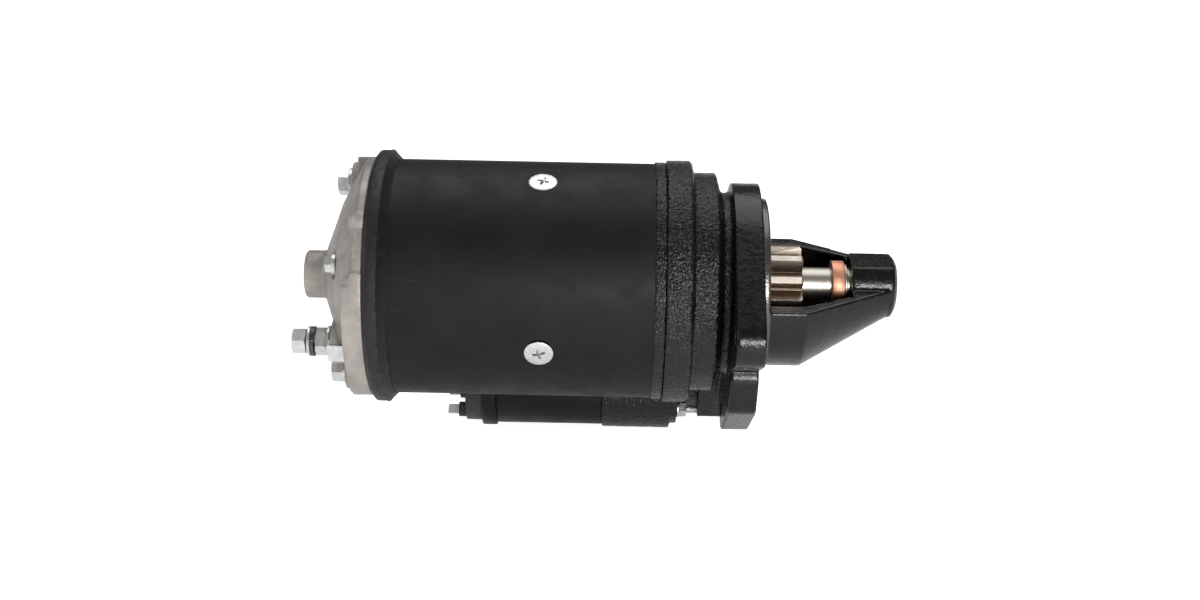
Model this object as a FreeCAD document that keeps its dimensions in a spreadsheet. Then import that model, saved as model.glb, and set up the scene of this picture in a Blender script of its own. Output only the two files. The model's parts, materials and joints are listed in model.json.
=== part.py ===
import FreeCAD, Part
import math
import os
import re
import Sketcher
from FreeCAD import Placement, Rotation, Vector

# Pre-engaged starter motor, in millimetres.
# The shaft lies on the X axis and the pinion nose points to +X. The origin is on the shaft axis in the
# plane of the flange's mounting face. Angles round the shaft run from +Y towards +Z.

doc = FreeCAD.newDocument("StarterMotor")
sheet = doc.addObject("Spreadsheet::Sheet", "dims")

DRIVING_DIMENSIONS = """
fit_gap 0.05              | clearance of a bolt in its hole
run_gap 0.03              | radial clearance of a running fit

yoke_left -205            | yoke tube
yoke_right -56
yoke_rad 63.5
yoke_bore 56
pole_x -115               | middle of the four poles
pole_angle 11.5
pole_length 90
pole_face_rad 38.6
pole_horn_depth 5.4
pole_body_span 40
pole_horn_span 64
pole_screw_head_rad 7.5
pole_screw_head_depth 4.2
pole_screw_rad 4
pole_screw_reach 14
coil_span 68
coil_end 10
coil_bottom_rad 45
coil_top_rad 54.6
link_ring_x -176.5
link_ring_length 4.5
link_ring_rad 46
link_ring_bore 40.5
grommet_x -184
grommet_rad 8

seal_right -193.2         | rubber ring over the joint
seal_crest -197.4
seal_corner -203
seal_rad 68.2
seal_edge_rad 65.8

cover_rim_x -210.6        | commutator-end bracket
cover_rim_rad 64.3
cover_knee_x -222
cover_knee_rad 42
cover_top_x -232.8
cover_spigot_x -199
cover_spigot_rad 55.95
cover_spigot_bore 51.5
cover_boss_x -244
cover_boss_rad 13
cover_wall 4.5
panel_face_x -215.6
panel_start 154.5
panel_span 80
panel_inner_rad 26
panel_rad 65.7
panel_corner 4.4
rim_boss_angle 128.5
rim_boss_rad 6
rim_boss_left -213.6
rim_boss_circle 61.2
bolt_pad_x -220.4
bolt_pad_rad 11
bolt_pad_rim_x -217

bush_wall 3               | plain bearings
rear_bush_x -241
rear_bush_length 15
centre_bush_x -58.5
centre_bush_length 8.5
centre_bush_wall 2.2
nose_bush_x 51.4
nose_bush_length 18.5
nose_bush_wall 2.2

bolt_circle 51            | through bolts
bolt_angle 59
bolt_rad 3.9
bolt_tip_x -37
bolt_head_flats 13
bolt_head_height 5.7
washer_thick 2.1
washer_rad 7.6

plate_x -203              | brush gear
plate_thick 2
plate_rad 46.5
plate_bore 27
screw_circle 38
screw_angle 147.5
screw_rad 2.5
screw_seat_x -222
screw_seat_rad 7.5
screw_head_flats 8
screw_head_height 3.6
post_rad 5.5
holder_x -200.9
holder_length 22
holder_inner 27
holder_outer 46
holder_half 8.6
brush_x -197
brush_length 16
brush_half 5.9
brush_top 38
brush_gap 0.1
spring_rad 3.6
spring_wire 0.6

stud_circle 42            | main terminal stud
stud_angle 213.5
stud_rad 4
stud_end_x -246.4
stud_boss_x -225.5
stud_boss_rad 12
stud_head_x -211
nut_flats 13
outer_nut_x -246.7
outer_nut_height 7.4
inner_nut_x -234.5
inner_nut_height 6.4
tab_thick 1
tab_width 9.6
tab_length 9
tab_turn 182.7

rim_left -56              | intermediate bracket
rim_right -50
rim_rad 64.3
rim_spigot_x -60
rim_spigot_rad 55.95
rim_spigot_bore 50
web_right -50.3
hub_rad 17
hub_left -59.5
hub_right -49.7

nose_rim_right -36        | drive-end bracket
nose_rim_rad 65.5
step_right -23.3
step_rad 59.1
neck_left -20.2
neck_rad 48.6
cavity_rad 40
cavity_taper_x -22
tunnel_rad 36
flange_thick 15
flange_disc_rad 54
ear_circle 70
ear_rad 14
ear_hole_rad 5.5
foot_circle 76
foot_rad 10
shoulder_y 45
shoulder_z -34
knee_y 41
knee_z -48
spigot_rad 46
spigot_length 4.5
shell_rad 44.7
shell_knee_x 24
tip_x 75.4
tip_rad 17.5
tip_chamfer 2.2
tip_flat_z 14.6
tip_flat_right 73
tip_wall_x 50.9
tunnel_end_rad 24
window_z 2.7
window_lean 3
cone_end_x 71

solenoid_circle 96        | solenoid, hung below and behind the yoke
solenoid_angle -61.4
lobe_left -34
lobe_right -10.5
lobe_rad 16.4
lobe_root 50
lobe_root_rad 22
lug_spacing 21.5
lug_rad 4.2
lug_left -26.9
chamber_half 9.5
chamber_left -31.6
chamber_right -13.8
chamber_top 108
fork_room_half 29.6
fork_room_top 41
fork_room_right -21.9
neck_room_left -35.5
pivot_x -25.3
pivot_circle 53
pivot_rad 4
pivot_boss_rad 9.5
pivot_half 26
case_left -143.7
case_right -82.3
case_rad 28
case_wall 2.5
housing_step_x -42.8
housing_right -38.6
housing_rad 29.3
housing_step_rad 26.5
housing_bore 15
clamp_left -152
clamp_rad 29.5
cap_left -161.4
cap_rad 26.8
cap_bore 21
cap_wall 5
boot_rad 16
boot_bore 13.6
core_left -138.4
core_face_x -112
plunger_left -99
plunger_right -46
plunger_rad 12.9
winding_rad 24.6
winding_left -136
winding_right -87
bobbin_rad 15.2
bobbin_bore 13.2
link_rad 5
link_pin_x -19
link_pin_rad 2.5
link_cheek 2.6
fix_stud_rad 2.5
fix_stud_left -58
fix_stud_right -15
fix_nut_flats 8
fix_nut_height 4.2
fix_washer_thick 1.2
power_stud_spread 13
power_stud_angle 154.5
power_stud_end_x -184
power_nut_x -168.5
power_nut_height 6
relief_width 0.6
relief_depth 0.5
contact_x -151
contact_rad 17
contact_thick 2
contact_rod_rad 2.4
contact_rod_right -93.2
spade_drop 19.5
strap_rad 66.5
strap_thick 2
strap_width 9

shaft_left -241           | armature
shaft_right 70
journal_rad 8
rear_shoulder_x -225
rear_shaft_rad 10
core_seat_left -204
core_seat_right -60.5
core_seat_rad 13
centre_journal_rad 11
drive_shaft_left -47
drive_shaft_rad 9
nose_shoulder_x 50.4
armature_left -158
armature_right -72
armature_rad 38
slot_count 21
slot_half 2
slot_bottom 28.5
winding_bar_half 1.7
winding_bar_top 37
overhang_length 10
overhang_rad 36
overhang_bore 18
commutator_left -200
commutator_right -169.5
commutator_rad 24
commutator_bore 15
riser_left -172.5
riser_rad 26
segment_count 28
mica_half 0.35
mica_depth 1
collar_x 40.7
collar_length 7
collar_rad 12.9
ring_length 1.4
ring_rad 11.2

spline_count 8            | drive: sleeve, clutch and pinion
spline_rad 10.6
spline_half 1.6
spline_left -45
spline_right -3
spline_gap 0.08
sleeve_left -47.8
sleeve_rad 14
sleeve_right -28
shell_back_x -34
shell_shoulder_x -30
shell_front_x -10
shell_cover_x -8
clutch_rad 29
clutch_back_rad 21.5
clutch_bore 25
race_rad 15.6
race_left -27.5
roller_rad 4.6
roller_count 5
roller_length 14
collar_left -47.4
groove_left -45.6
groove_right -39.4
groove_rad 17.2
flange_rad 22
guide_right -37.8
pinion_left -1
pinion_right 24.2
pinion_tip_rad 20.7
pinion_root_rad 14
pinion_count 10
pinion_angle 150.5
pinion_tip_half 1.75
pinion_root_half 4.1
fork_inner 23
fork_outer 28
fork_pad_rad 2.4
lever_half 8.6
fork_bridge_u 35
fork_bridge_rad 3.5
fork_end_rad 3.4
lever_boss_rad 6.4
lever_tip_rad 4.6
lever_root_rad 3.4
lever_waist_x -18.7
lever_waist_circle 84
lever_waist_rad 3.6
lever_finger_half 4.6
"""


def fill_sheet(text):
    """Puts one plain number and its alias in each row of the sheet."""
    row = 0
    for line in text.splitlines():
        words = line.split("|")
        if not words[0].strip():
            continue
        row += 1
        alias, number = words[0].split()
        sheet.set(f"A{row}", alias)
        sheet.set(f"B{row}", number)
        sheet.setAlias(f"B{row}", alias)
        if len(words) > 1:
            sheet.set(f"C{row}", words[1].strip())
    doc.recompute()


fill_sheet(DRIVING_DIMENSIONS)


# ---------------------------------------------------------------- helpers

def linked(text):
    """Adds the sheet's name to every alias of an expression."""
    return re.sub(r"[a-z]+(?:_[a-z]+)+", r"dims.\g<0>", str(text))


def value(text):
    """The number that an expression gives now."""
    return float(sheet.evalExpression(linked(text)))


def bind(thing, **expressions):
    """Binds properties of an object to expressions of the sheet."""
    for name, text in expressions.items():
        thing.setExpression(name, linked(text))


def place(thing, x="0", u="0", v="0", turn="0", tilt=None):
    """Puts an object at x, u and v, where u is radial and v tangential at the angle turn.

    Its local Y points along u and its local Z along v, unless tilt gives a fixed first rotation.
    """
    rotation = Rotation(Vector(1, 0, 0), value(turn))
    thing.Placement = Placement(Vector(0, 0, 0), rotation if tilt is None else rotation.multiply(tilt))
    bind_path(thing, "Placement.Base.x", x)
    bind_path(thing, "Placement.Base.y", f"({u}) * cos({turn}) - ({v}) * sin({turn})")
    bind_path(thing, "Placement.Base.z", f"({u}) * sin({turn}) + ({v}) * cos({turn})")
    return thing


def bind_path(thing, path, text):
    thing.setExpression(path, linked(text))


ALONG_X = Rotation(Vector(0, 1, 0), 90)
ALONG_U = Rotation(Vector(1, 0, 0), -90)


def rod(name, x, length, radius, u="0", v="0", turn="0"):
    """A cylinder whose axis is parallel to the shaft."""
    solid = doc.addObject("Part::Cylinder", name)
    bind(solid, Radius=radius, Height=length)
    return place(solid, x, u, v, turn, ALONG_X)


def radial_rod(name, x, u, length, radius, turn, v="0"):
    """A cylinder whose axis points away from the shaft."""
    solid = doc.addObject("Part::Cylinder", name)
    bind(solid, Radius=radius, Height=length)
    return place(solid, x, u, v, turn, ALONG_U)


def cross_rod(name, x, u, v, length, radius, turn):
    """A cylinder whose axis is tangential."""
    solid = doc.addObject("Part::Cylinder", name)
    bind(solid, Radius=radius, Height=length)
    return place(solid, x, u, v, turn)


def cone(name, x, length, left_radius, right_radius, u="0", v="0", turn="0", tilt=ALONG_X):
    solid = doc.addObject("Part::Cone", name)
    bind(solid, Radius1=left_radius, Radius2=right_radius, Height=length)
    return place(solid, x, u, v, turn, tilt)


def block(name, x, length, u, depth, v, width, turn="0"):
    """A box measured along the shaft, away from it and across."""
    solid = doc.addObject("Part::Box", name)
    bind(solid, Length=length, Width=depth, Height=width)
    return place(solid, x, u, v, turn)


def hexagon(name, x, length, flats, u="0", v="0", turn="0", clock=0):
    """A hexagonal prism parallel to the shaft, given by its size across flats."""
    solid = doc.addObject("Part::Prism", name)
    solid.Polygon = 6
    bind(solid, Circumradius=f"({flats}) / 2 / cos(30)", Height=length)
    return place(solid, x, u, v, turn, ALONG_X.multiply(Rotation(Vector(0, 0, 1), clock)))


def cut(name, base, *tools):
    """The base without the tools."""
    result = doc.addObject("Part::Cut", name)
    result.Base = base
    result.Tool = tools[0] if len(tools) == 1 else fuse(name + "Tools", *tools)
    return result


def fuse(name, *solids):
    result = doc.addObject("Part::MultiFuse", name)
    result.Shapes = list(solids)
    result.Refine = True
    return result


def common(name, first, second):
    result = doc.addObject("Part::Common", name)
    result.Base = first
    result.Tool = second
    return result


def group(name, solids):
    """Several separate solids of one sub-part."""
    result = doc.addObject("Part::Compound", name)
    result.Links = list(solids)
    return result


def tube(name, x, length, radius, bore, u="0", v="0", turn="0"):
    outer = rod(name + "Outside", x, length, radius, u, v, turn)
    inner = rod(name + "Bore", x, length, bore, u, v, turn)
    return cut(name, outer, inner)


def ring_sector(name, x, length, bore, radius, start, span):
    """Part of a ring from the angle start, over the angle span."""
    outer = doc.addObject("Part::Cylinder", name + "Outside")
    bind(outer, Radius=radius, Height=length, Angle=span)
    place(outer, x, tilt=ALONG_X)
    ring = cut(name, outer, rod(name + "Bore", x, length, bore))
    ring.Placement = Placement(Vector(0, 0, 0), Rotation(Vector(1, 0, 0), 1))
    bind_path(ring, "Placement.Rotation.Angle", f"{start} + 90")
    return ring


def new_body(name):
    return doc.addObject("PartDesign::Body", name)


def new_sketch(body, name, role, offset="0", turn=None, lean=None):
    """A sketch on a plane of the body's origin, moved along its normal.

    It can be turned round the normal, or leant round its own X axis.
    """
    sketch = body.newObject("Sketcher::SketchObject", name)
    planes = [item for item in body.Origin.OriginFeatures if item.Role == role]
    sketch.AttachmentSupport = [(planes[0], "")]
    sketch.MapMode = "FlatFace"
    if turn:
        sketch.AttachmentOffset = Placement(Vector(0, 0, 0), Rotation(Vector(0, 0, 1), value(turn)))
    if lean:
        sketch.AttachmentOffset = Placement(Vector(0, 0, 0), Rotation(Vector(1, 0, 0), value(lean)))
    bind_path(sketch, "AttachmentOffset.Base.z", offset)
    return sketch


def pin_point(sketch, geometry, vertex, x, y):
    """Holds a point of a sketch at expressions of the sheet."""
    for kind, text in (("DistanceX", x), ("DistanceY", y)):
        constraint = Sketcher.Constraint(kind, -1, 1, geometry, vertex, value(text))
        number = sketch.addConstraint(constraint)
        sketch.setExpression(f"Constraints[{number}]", linked(text))


def add_circle(sketch, x, y, radius):
    centre = Vector(value(x), value(y), 0)
    number = sketch.addGeometry(Part.Circle(centre, Vector(0, 0, 1), value(radius)), False)
    pin_point(sketch, number, 3, x, y)
    bound = sketch.addConstraint(Sketcher.Constraint("Radius", number, value(radius)))
    sketch.setExpression(f"Constraints[{bound}]", linked(radius))


def add_outline(sketch, points):
    """A closed outline of straight lines through points given as expressions."""
    corners = [Vector(value(x), value(y), 0) for x, y in points]
    count = len(corners)
    for index in range(count):
        sketch.addGeometry(Part.LineSegment(corners[index], corners[(index + 1) % count]), False)
    for index in range(count):
        follower = (index + 1) % count
        sketch.addConstraint(Sketcher.Constraint("Coincident", index, 2, follower, 1))
    for index, (x, y) in enumerate(points):
        pin_point(sketch, index, 1, x, y)


def add_hull(sketch, circles):
    """The outline of a belt round circles listed anticlockwise: arcs joined by tangent lines."""
    discs = [(Vector(value(x), value(y), 0), value(radius)) for x, y, radius in circles]
    count = len(discs)
    headings = []
    for index in range(count):
        centre, radius = discs[index]
        target, target_radius = discs[(index + 1) % count]
        way = target - centre
        lean = math.asin((radius - target_radius) / way.Length)
        headings.append(math.atan2(way.y, way.x) - math.pi / 2 + lean)
    for index in range(count):
        centre, radius = discs[index]
        circle = Part.Circle(centre, Vector(0, 0, 1), radius)
        start = headings[index - 1]
        stop = headings[index]
        while stop < start:
            stop += 2 * math.pi
        sketch.addGeometry(Part.ArcOfCircle(circle, start, stop), False)
    for index in range(count):
        normal = Vector(math.cos(headings[index]), math.sin(headings[index]), 0)
        centre, radius = discs[index]
        target, target_radius = discs[(index + 1) % count]
        line = Part.LineSegment(centre + normal * radius, target + normal * target_radius)
        sketch.addGeometry(line, False)
    for index, (x, y, radius) in enumerate(circles):
        line = count + index
        sketch.addConstraint(Sketcher.Constraint("Tangent", index, 2, line, 1))
        sketch.addConstraint(Sketcher.Constraint("Tangent", line, 2, (index + 1) % count, 1))
        pin_point(sketch, index, 3, x, y)
        bound = sketch.addConstraint(Sketcher.Constraint("Radius", index, value(radius)))
        sketch.setExpression(f"Constraints[{bound}]", linked(radius))


def revolve(body, name, points, groove=False):
    """Turns an outline of x and radius round the shaft axis."""
    sketch = new_sketch(body, name + "Sketch", "XZ_Plane")
    add_outline(sketch, points)
    kind = "PartDesign::Groove" if groove else "PartDesign::Revolution"
    feature = body.newObject(kind, name)
    feature.Profile = sketch
    feature.ReferenceAxis = (sketch, ["H_Axis"])
    feature.Angle = 360
    body.Tip = feature
    return feature


def pad(body, name, sketch, length):
    feature = body.newObject("PartDesign::Pad", name)
    feature.Profile = sketch
    bind(feature, Length=length)
    body.Tip = feature
    return feature


def pocket(body, name, sketch, depth):
    """Cuts from the sketch against its normal."""
    feature = body.newObject("PartDesign::Pocket", name)
    feature.Profile = sketch
    bind(feature, Length=depth)
    body.Tip = feature
    return feature


def polar(body, name, feature, count):
    """Repeats a feature evenly round the shaft."""
    pattern = body.newObject("PartDesign::PolarPattern", name)
    pattern.Originals = [feature]
    axes = [item for item in body.Origin.OriginFeatures if item.Role == "X_Axis"]
    pattern.Axis = (axes[0], [""])
    pattern.Angle = 360
    bind(pattern, Occurrences=count)
    body.Tip = pattern
    return pattern


def turned(name, points):
    """A body that is one turned outline."""
    body = new_body(name)
    revolve(body, name + "Turning", points)
    return body


def coil_spring(name, height, radius, wire, pitch, placement):
    """A round wire swept along a helix, standing on its local Z axis."""
    helix = doc.addObject("Part::Helix", name + "Helix")
    bind(helix, Pitch=pitch, Height=height, Radius=radius)
    section = doc.addObject("Part::Circle", name + "Section")
    bind(section, Radius=wire)
    section.Placement = Placement(Vector(0, 0, 0), Rotation(Vector(1, 0, 0), 90))
    bind_path(section, "Placement.Base.x", radius)
    sweep = doc.addObject("Part::Sweep", name)
    sweep.Sections = [section]
    sweep.Spine = (helix, [])
    sweep.Solid = True
    sweep.Frenet = True
    sweep.Placement = placement
    return sweep


# ---------------------------------------------------------------- casings

QUARTERS = (0, 90, 180, 270)
HALVES = (0, 180)
SOLENOID = {"u": "solenoid_circle", "turn": "solenoid_angle"}
STUD = {"u": "stud_circle", "turn": "stud_angle"}


def bolt_holes(name, x, length, radius):
    """Two holes on the through-bolt circle."""
    return [
        rod(f"{name}{turn}", x, length, radius, u="bolt_circle", turn=f"bolt_angle + {turn}")
        for turn in HALVES
    ]


def yoke():
    tube_body = turned("YokeTube", [
        ("yoke_left", "yoke_bore"), ("yoke_left", "yoke_rad"),
        ("yoke_right", "yoke_rad"), ("yoke_right", "yoke_bore"),
    ])
    holes = []
    for turn in QUARTERS:
        angle = f"pole_angle + {turn}"
        holes.append(radial_rod(f"PoleHole{turn}", "pole_x", "yoke_bore - 2", "12",
                                "pole_screw_rad + fit_gap", angle))
        sink = cone(f"PoleSink{turn}", "pole_x", "pole_screw_head_depth + 1",
                    "pole_screw_rad + fit_gap",
                    "pole_screw_head_rad + fit_gap + "
                    "(pole_screw_head_rad - pole_screw_rad) / pole_screw_head_depth",
                    u="yoke_rad - pole_screw_head_depth", turn=angle, tilt=ALONG_U)
        holes.append(sink)
    holes.append(radial_rod("GrommetHole", "grommet_x", "yoke_bore - 2", "12",
                            "grommet_rad - 2", "solenoid_angle"))
    return cut("Yoke", tube_body, *holes)


def yoke_seal_ring():
    return turned("YokeSealRing", [
        ("yoke_left", "yoke_rad"), ("yoke_left", "seal_edge_rad"), ("seal_corner", "seal_rad"),
        ("seal_crest", "seal_rad"), ("seal_right", "yoke_rad + 0.4"), ("seal_right", "yoke_rad"),
    ])


def pole_shoes():
    shoes = []
    for turn in QUARTERS:
        middle = f"pole_angle + {turn}"
        left = "pole_x - pole_length / 2"
        horn = ring_sector(f"PoleHorn{turn}", left, "pole_length", "pole_face_rad",
                           "pole_face_rad + pole_horn_depth",
                           f"{middle} - pole_horn_span / 2", "pole_horn_span")
        core = ring_sector(f"PoleCore{turn}", left, "pole_length", "pole_face_rad + 2",
                           "yoke_bore", f"{middle} - pole_body_span / 2", "pole_body_span")
        hole = radial_rod(f"PoleTap{turn}", "pole_x", "yoke_rad - pole_screw_reach - 0.5",
                          "pole_screw_reach", "pole_screw_rad + fit_gap", middle)
        shoes.append(cut(f"PoleShoe{turn}", fuse(f"PoleBlank{turn}", horn, core), hole))
    return group("PoleShoes", shoes)


def pole_screws():
    """Countersunk screws with a cross recess, their heads flush with the yoke."""
    screws = []
    for turn in QUARTERS:
        angle = f"pole_angle + {turn}"
        head_bottom = "yoke_rad - pole_screw_head_depth"
        shank = radial_rod(f"PoleShank{turn}", "pole_x", "yoke_rad - pole_screw_reach",
                           "pole_screw_reach - pole_screw_head_depth", "pole_screw_rad", angle)
        head = cone(f"PoleHead{turn}", "pole_x", "pole_screw_head_depth", "pole_screw_rad",
                    "pole_screw_head_rad", u=head_bottom, turn=angle, tilt=ALONG_U)
        crown = radial_rod(f"PoleCrown{turn}", "pole_x", "yoke_rad", "0.5",
                           "pole_screw_head_rad - 0.3", angle)
        recess = [
            block(f"CrossAlong{turn}", "pole_x - 4", "8", "yoke_rad - 1.8", "4", "-0.75", "1.5", angle),
            block(f"CrossOver{turn}", "pole_x - 0.75", "1.5", "yoke_rad - 1.8", "4", "-4", "8", angle),
        ]
        screws.append(cut(f"PoleScrew{turn}", fuse(f"PoleScrewBlank{turn}", shank, head, crown), *recess))
    return group("PoleScrews", screws)


def field_coils():
    """Flat coils bent to the yoke, one round each pole."""
    coils = []
    for turn in QUARTERS:
        middle = f"pole_angle + {turn}"
        left = "pole_x - pole_length / 2"
        outer = ring_sector(f"CoilOutside{turn}", f"{left} - coil_end", "pole_length + 2 * coil_end",
                            "coil_bottom_rad", "coil_top_rad", f"{middle} - coil_span / 2", "coil_span")
        window = ring_sector(f"CoilWindow{turn}", f"{left} - 0.6", "pole_length + 1.2",
                             "coil_bottom_rad - 1", "coil_top_rad + 1",
                             f"{middle} - pole_body_span / 2 - 1", "pole_body_span + 2")
        coils.append(cut(f"FieldCoil{turn}", outer, window))
    return group("FieldCoils", coils)


def field_links():
    """The ring that joins the coils' ends, with a tab to each coil and the lead to the grommet."""
    parts = [tube("LinkRing", "link_ring_x", "link_ring_length", "link_ring_rad", "link_ring_bore")]
    for turn in QUARTERS:
        parts.append(block(f"LinkTab{turn}", "link_ring_x", "link_ring_length + 1.95",
                           "link_ring_rad - 0.6", "5", "-4", "8", f"pole_angle + {turn}"))
    parts.append(block("LinkRise", "link_ring_x", "link_ring_length", "link_ring_rad - 0.6", "4",
                       "-strap_width / 2", "strap_width", "solenoid_angle"))
    parts.append(block("LinkLead", "grommet_x - strap_thick / 2",
                       "link_ring_x - grommet_x + strap_thick / 2 + 1", "link_ring_rad + 1",
                       "strap_thick", "-strap_width / 2", "strap_width", "solenoid_angle"))
    return fuse("FieldLinks", *parts)


def field_grommet():
    """A flanged rubber sleeve in the yoke wall round the field lead."""
    outer = radial_rod("GrommetBody", "grommet_x", "yoke_bore - 1.5", "9.2", "grommet_rad - 2.1",
                       "solenoid_angle")
    brim = radial_rod("GrommetBrim", "grommet_x", "yoke_rad + 0.05", "2", "grommet_rad", "solenoid_angle")
    slot = block("GrommetSlot", "grommet_x - strap_thick / 2 - 0.1", "strap_thick + 0.2", "40", "40",
                 "-strap_width / 2 - 0.1", "strap_width + 0.2", "solenoid_angle")
    return cut("FieldGrommet", fuse("GrommetBlank", outer, brim), slot)


def motor_link():
    """The copper strap from the solenoid to the field coils."""
    drop = "power_stud_spread * cos(power_stud_angle - solenoid_angle)"
    side = "power_stud_spread * sin(power_stud_angle - solenoid_angle)"
    palm = block("StrapPalm", "power_nut_x + 0.1", "strap_thick", "strap_rad",
                 f"solenoid_circle + {drop} - strap_rad + 7", "-strap_width / 2",
                 f"{side} + strap_width", "solenoid_angle")
    run = block("StrapRun", "grommet_x - strap_thick / 2",
                "power_nut_x + 0.1 + strap_thick - grommet_x + strap_thick / 2", "strap_rad",
                "strap_thick", "-strap_width / 2", "strap_width", "solenoid_angle")
    leg = block("StrapLeg", "grommet_x - strap_thick / 2", "strap_thick",
                "link_ring_rad + 1 + strap_thick", "strap_rad - link_ring_rad - 2",
                "-strap_width / 2", "strap_width", "solenoid_angle")
    hole = rod("StrapHole", "power_nut_x - 2", "8", "stud_rad + fit_gap",
               u=f"solenoid_circle + {drop}", v=side, turn="solenoid_angle")
    return cut("MotorLink", fuse("StrapBlank", palm, run, leg), hole)


def raised_panel():
    """A thickened part of the bracket's cone and rim, rounded at its upper left corner."""
    lean = "panel_corner / cover_knee_rad * 180 / pi"
    inset = "panel_face_x + panel_corner"
    return [
        ring_sector("PanelRight", inset, "yoke_left - panel_face_x - panel_corner", "panel_inner_rad",
                    "panel_rad", "panel_start", "panel_span"),
        ring_sector("PanelLeft", "panel_face_x", "panel_corner + 1", "panel_inner_rad", "panel_rad",
                    f"panel_start + {lean}", f"panel_span - {lean}"),
        radial_rod("PanelCorner", inset, "panel_inner_rad + 2", "panel_rad - panel_inner_rad - 3",
                   "panel_corner", f"panel_start + {lean}"),
    ]


def rim_boss():
    """A lump on the rim with a round left end."""
    spot = {"u": "rim_boss_circle", "turn": "rim_boss_angle"}
    middle = "rim_boss_left + rim_boss_rad"
    ball = doc.addObject("Part::Sphere", "RimBossBall")
    bind(ball, Radius="rim_boss_rad")
    place(ball, middle, **spot)
    room = rod("RimBossRoom", "rim_boss_left - 1", "rim_boss_rad + 1.5", "rim_boss_rad + 1", **spot)
    stem = rod("RimBossStem", middle, f"yoke_left - ({middle})", "rim_boss_rad", **spot)
    return [common("RimBossCrown", ball, room), stem]


def commutator_end_bracket():
    wall = "cover_wall"
    shell = turned("CoverShell", [
        ("cover_spigot_x", "cover_spigot_bore"), ("cover_spigot_x", "cover_spigot_rad"),
        ("yoke_left", "cover_spigot_rad"), ("yoke_left", "cover_rim_rad"),
        ("cover_rim_x + 1.5", "cover_rim_rad"), ("cover_rim_x", "cover_rim_rad - 1.5"),
        ("cover_knee_x", "cover_knee_rad"),
        ("cover_top_x", "cover_boss_rad + 0.2"), ("cover_top_x - 2", "cover_boss_rad"),
        ("cover_boss_x + 1", "cover_boss_rad"), ("cover_boss_x", "cover_boss_rad - 1"),
        ("cover_boss_x", "0"), ("rear_bush_x - 0.5", "0"),
        ("rear_bush_x - 0.5", "journal_rad + bush_wall"), ("rear_bush_x + rear_bush_length",
                                                          "journal_rad + bush_wall"),
        (f"cover_knee_x + {wall}", f"cover_knee_rad - 0.5 * {wall}"),
        (f"cover_rim_x + 0.5 * {wall}", "cover_spigot_bore"),
    ])
    pieces = [shell]
    for turn in HALVES:
        angle = f"bolt_angle + {turn}"
        pieces.append(rod(f"BoltPad{turn}", "bolt_pad_x", "yoke_left - bolt_pad_x", "bolt_pad_rad",
                          u="bolt_circle", turn=angle))
        pieces.append(common(f"RimPad{turn}",
                             block(f"RimPadBlock{turn}", "bolt_pad_rim_x", "yoke_left - bolt_pad_rim_x",
                                   "cover_knee_rad", "30", "-bolt_pad_rad", "2 * bolt_pad_rad", angle),
                             rod(f"RimPadLimit{turn}", "bolt_pad_rim_x", "20", "cover_rim_rad")))
        pieces.append(rod(f"ScrewPost{turn}", "cover_knee_x + 2", "plate_x - cover_knee_x - 2",
                          "post_rad", u="screw_circle", turn=f"screw_angle + {turn}"))
    pieces += raised_panel()
    pieces += rim_boss()
    pieces.append(rod("StudBoss", "stud_boss_x", "yoke_left - stud_boss_x - 2", "stud_boss_rad", **STUD))
    casting = fuse("CoverCasting", *pieces)
    tools = bolt_holes("CoverBolt", "cover_boss_x", "60", "bolt_rad + fit_gap")
    tools += bolt_holes("CoverSeat", "bolt_pad_x - 20", "20", "washer_rad + 0.6")
    for turn in HALVES:
        angle = f"screw_angle + {turn}"
        tools.append(rod(f"ScrewSeat{turn}", "screw_seat_x - 12", "12", "screw_seat_rad",
                         u="screw_circle", turn=angle))
        tools.append(rod(f"ScrewHole{turn}", "cover_boss_x", "60", "screw_rad + fit_gap",
                         u="screw_circle", turn=angle))
    tools.append(rod("StudHole", "cover_boss_x", "60", "stud_rad + 2.6", **STUD))
    tools.append(rod("StudHeadRoom", "stud_head_x - 0.1", "20", "stud_boss_rad - 2.5", **STUD))
    tools.append(rod("HubRoom", "rear_bush_x + rear_bush_length", "12", "rear_shaft_rad + 4"))
    return cut("CommutatorEndBracket", casting, *tools)


def bush(name, x, length, wall, journal):
    return tube(name, x, length, f"{journal} + {wall}", f"{journal} + run_gap")


def through_bolts():
    bolts = []
    for turn in HALVES:
        angle = f"bolt_angle + {turn}"
        seat = "bolt_pad_x - washer_thick"
        head = hexagon(f"BoltHead{turn}", f"{seat} - bolt_head_height", "bolt_head_height",
                       "bolt_head_flats", u="bolt_circle", turn=angle, clock=12)
        crown = cone(f"BoltCrown{turn}", f"{seat} - bolt_head_height", "bolt_head_height",
                     "bolt_head_flats / 2 - 0.2", "bolt_head_flats / 2 + 5", u="bolt_circle", turn=angle)
        shank = rod(f"BoltShank{turn}", f"{seat} - 1", f"bolt_tip_x - bolt_pad_x + washer_thick + 1",
                    "bolt_rad", u="bolt_circle", turn=angle)
        bolts.append(fuse(f"ThroughBolt{turn}", common(f"BoltTrim{turn}", head, crown), shank))
    return group("ThroughBolts", bolts)


def brush_plate():
    plate = tube("PlateRing", "plate_x", "plate_thick", "plate_rad", "plate_bore")
    holes = [
        rod(f"PlateHole{turn}", "plate_x - 1", "plate_thick + 2", "screw_rad + fit_gap",
            u="screw_circle", turn=f"screw_angle + {turn}")
        for turn in HALVES
    ]
    return cut("BrushPlate", plate, *holes)


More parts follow.
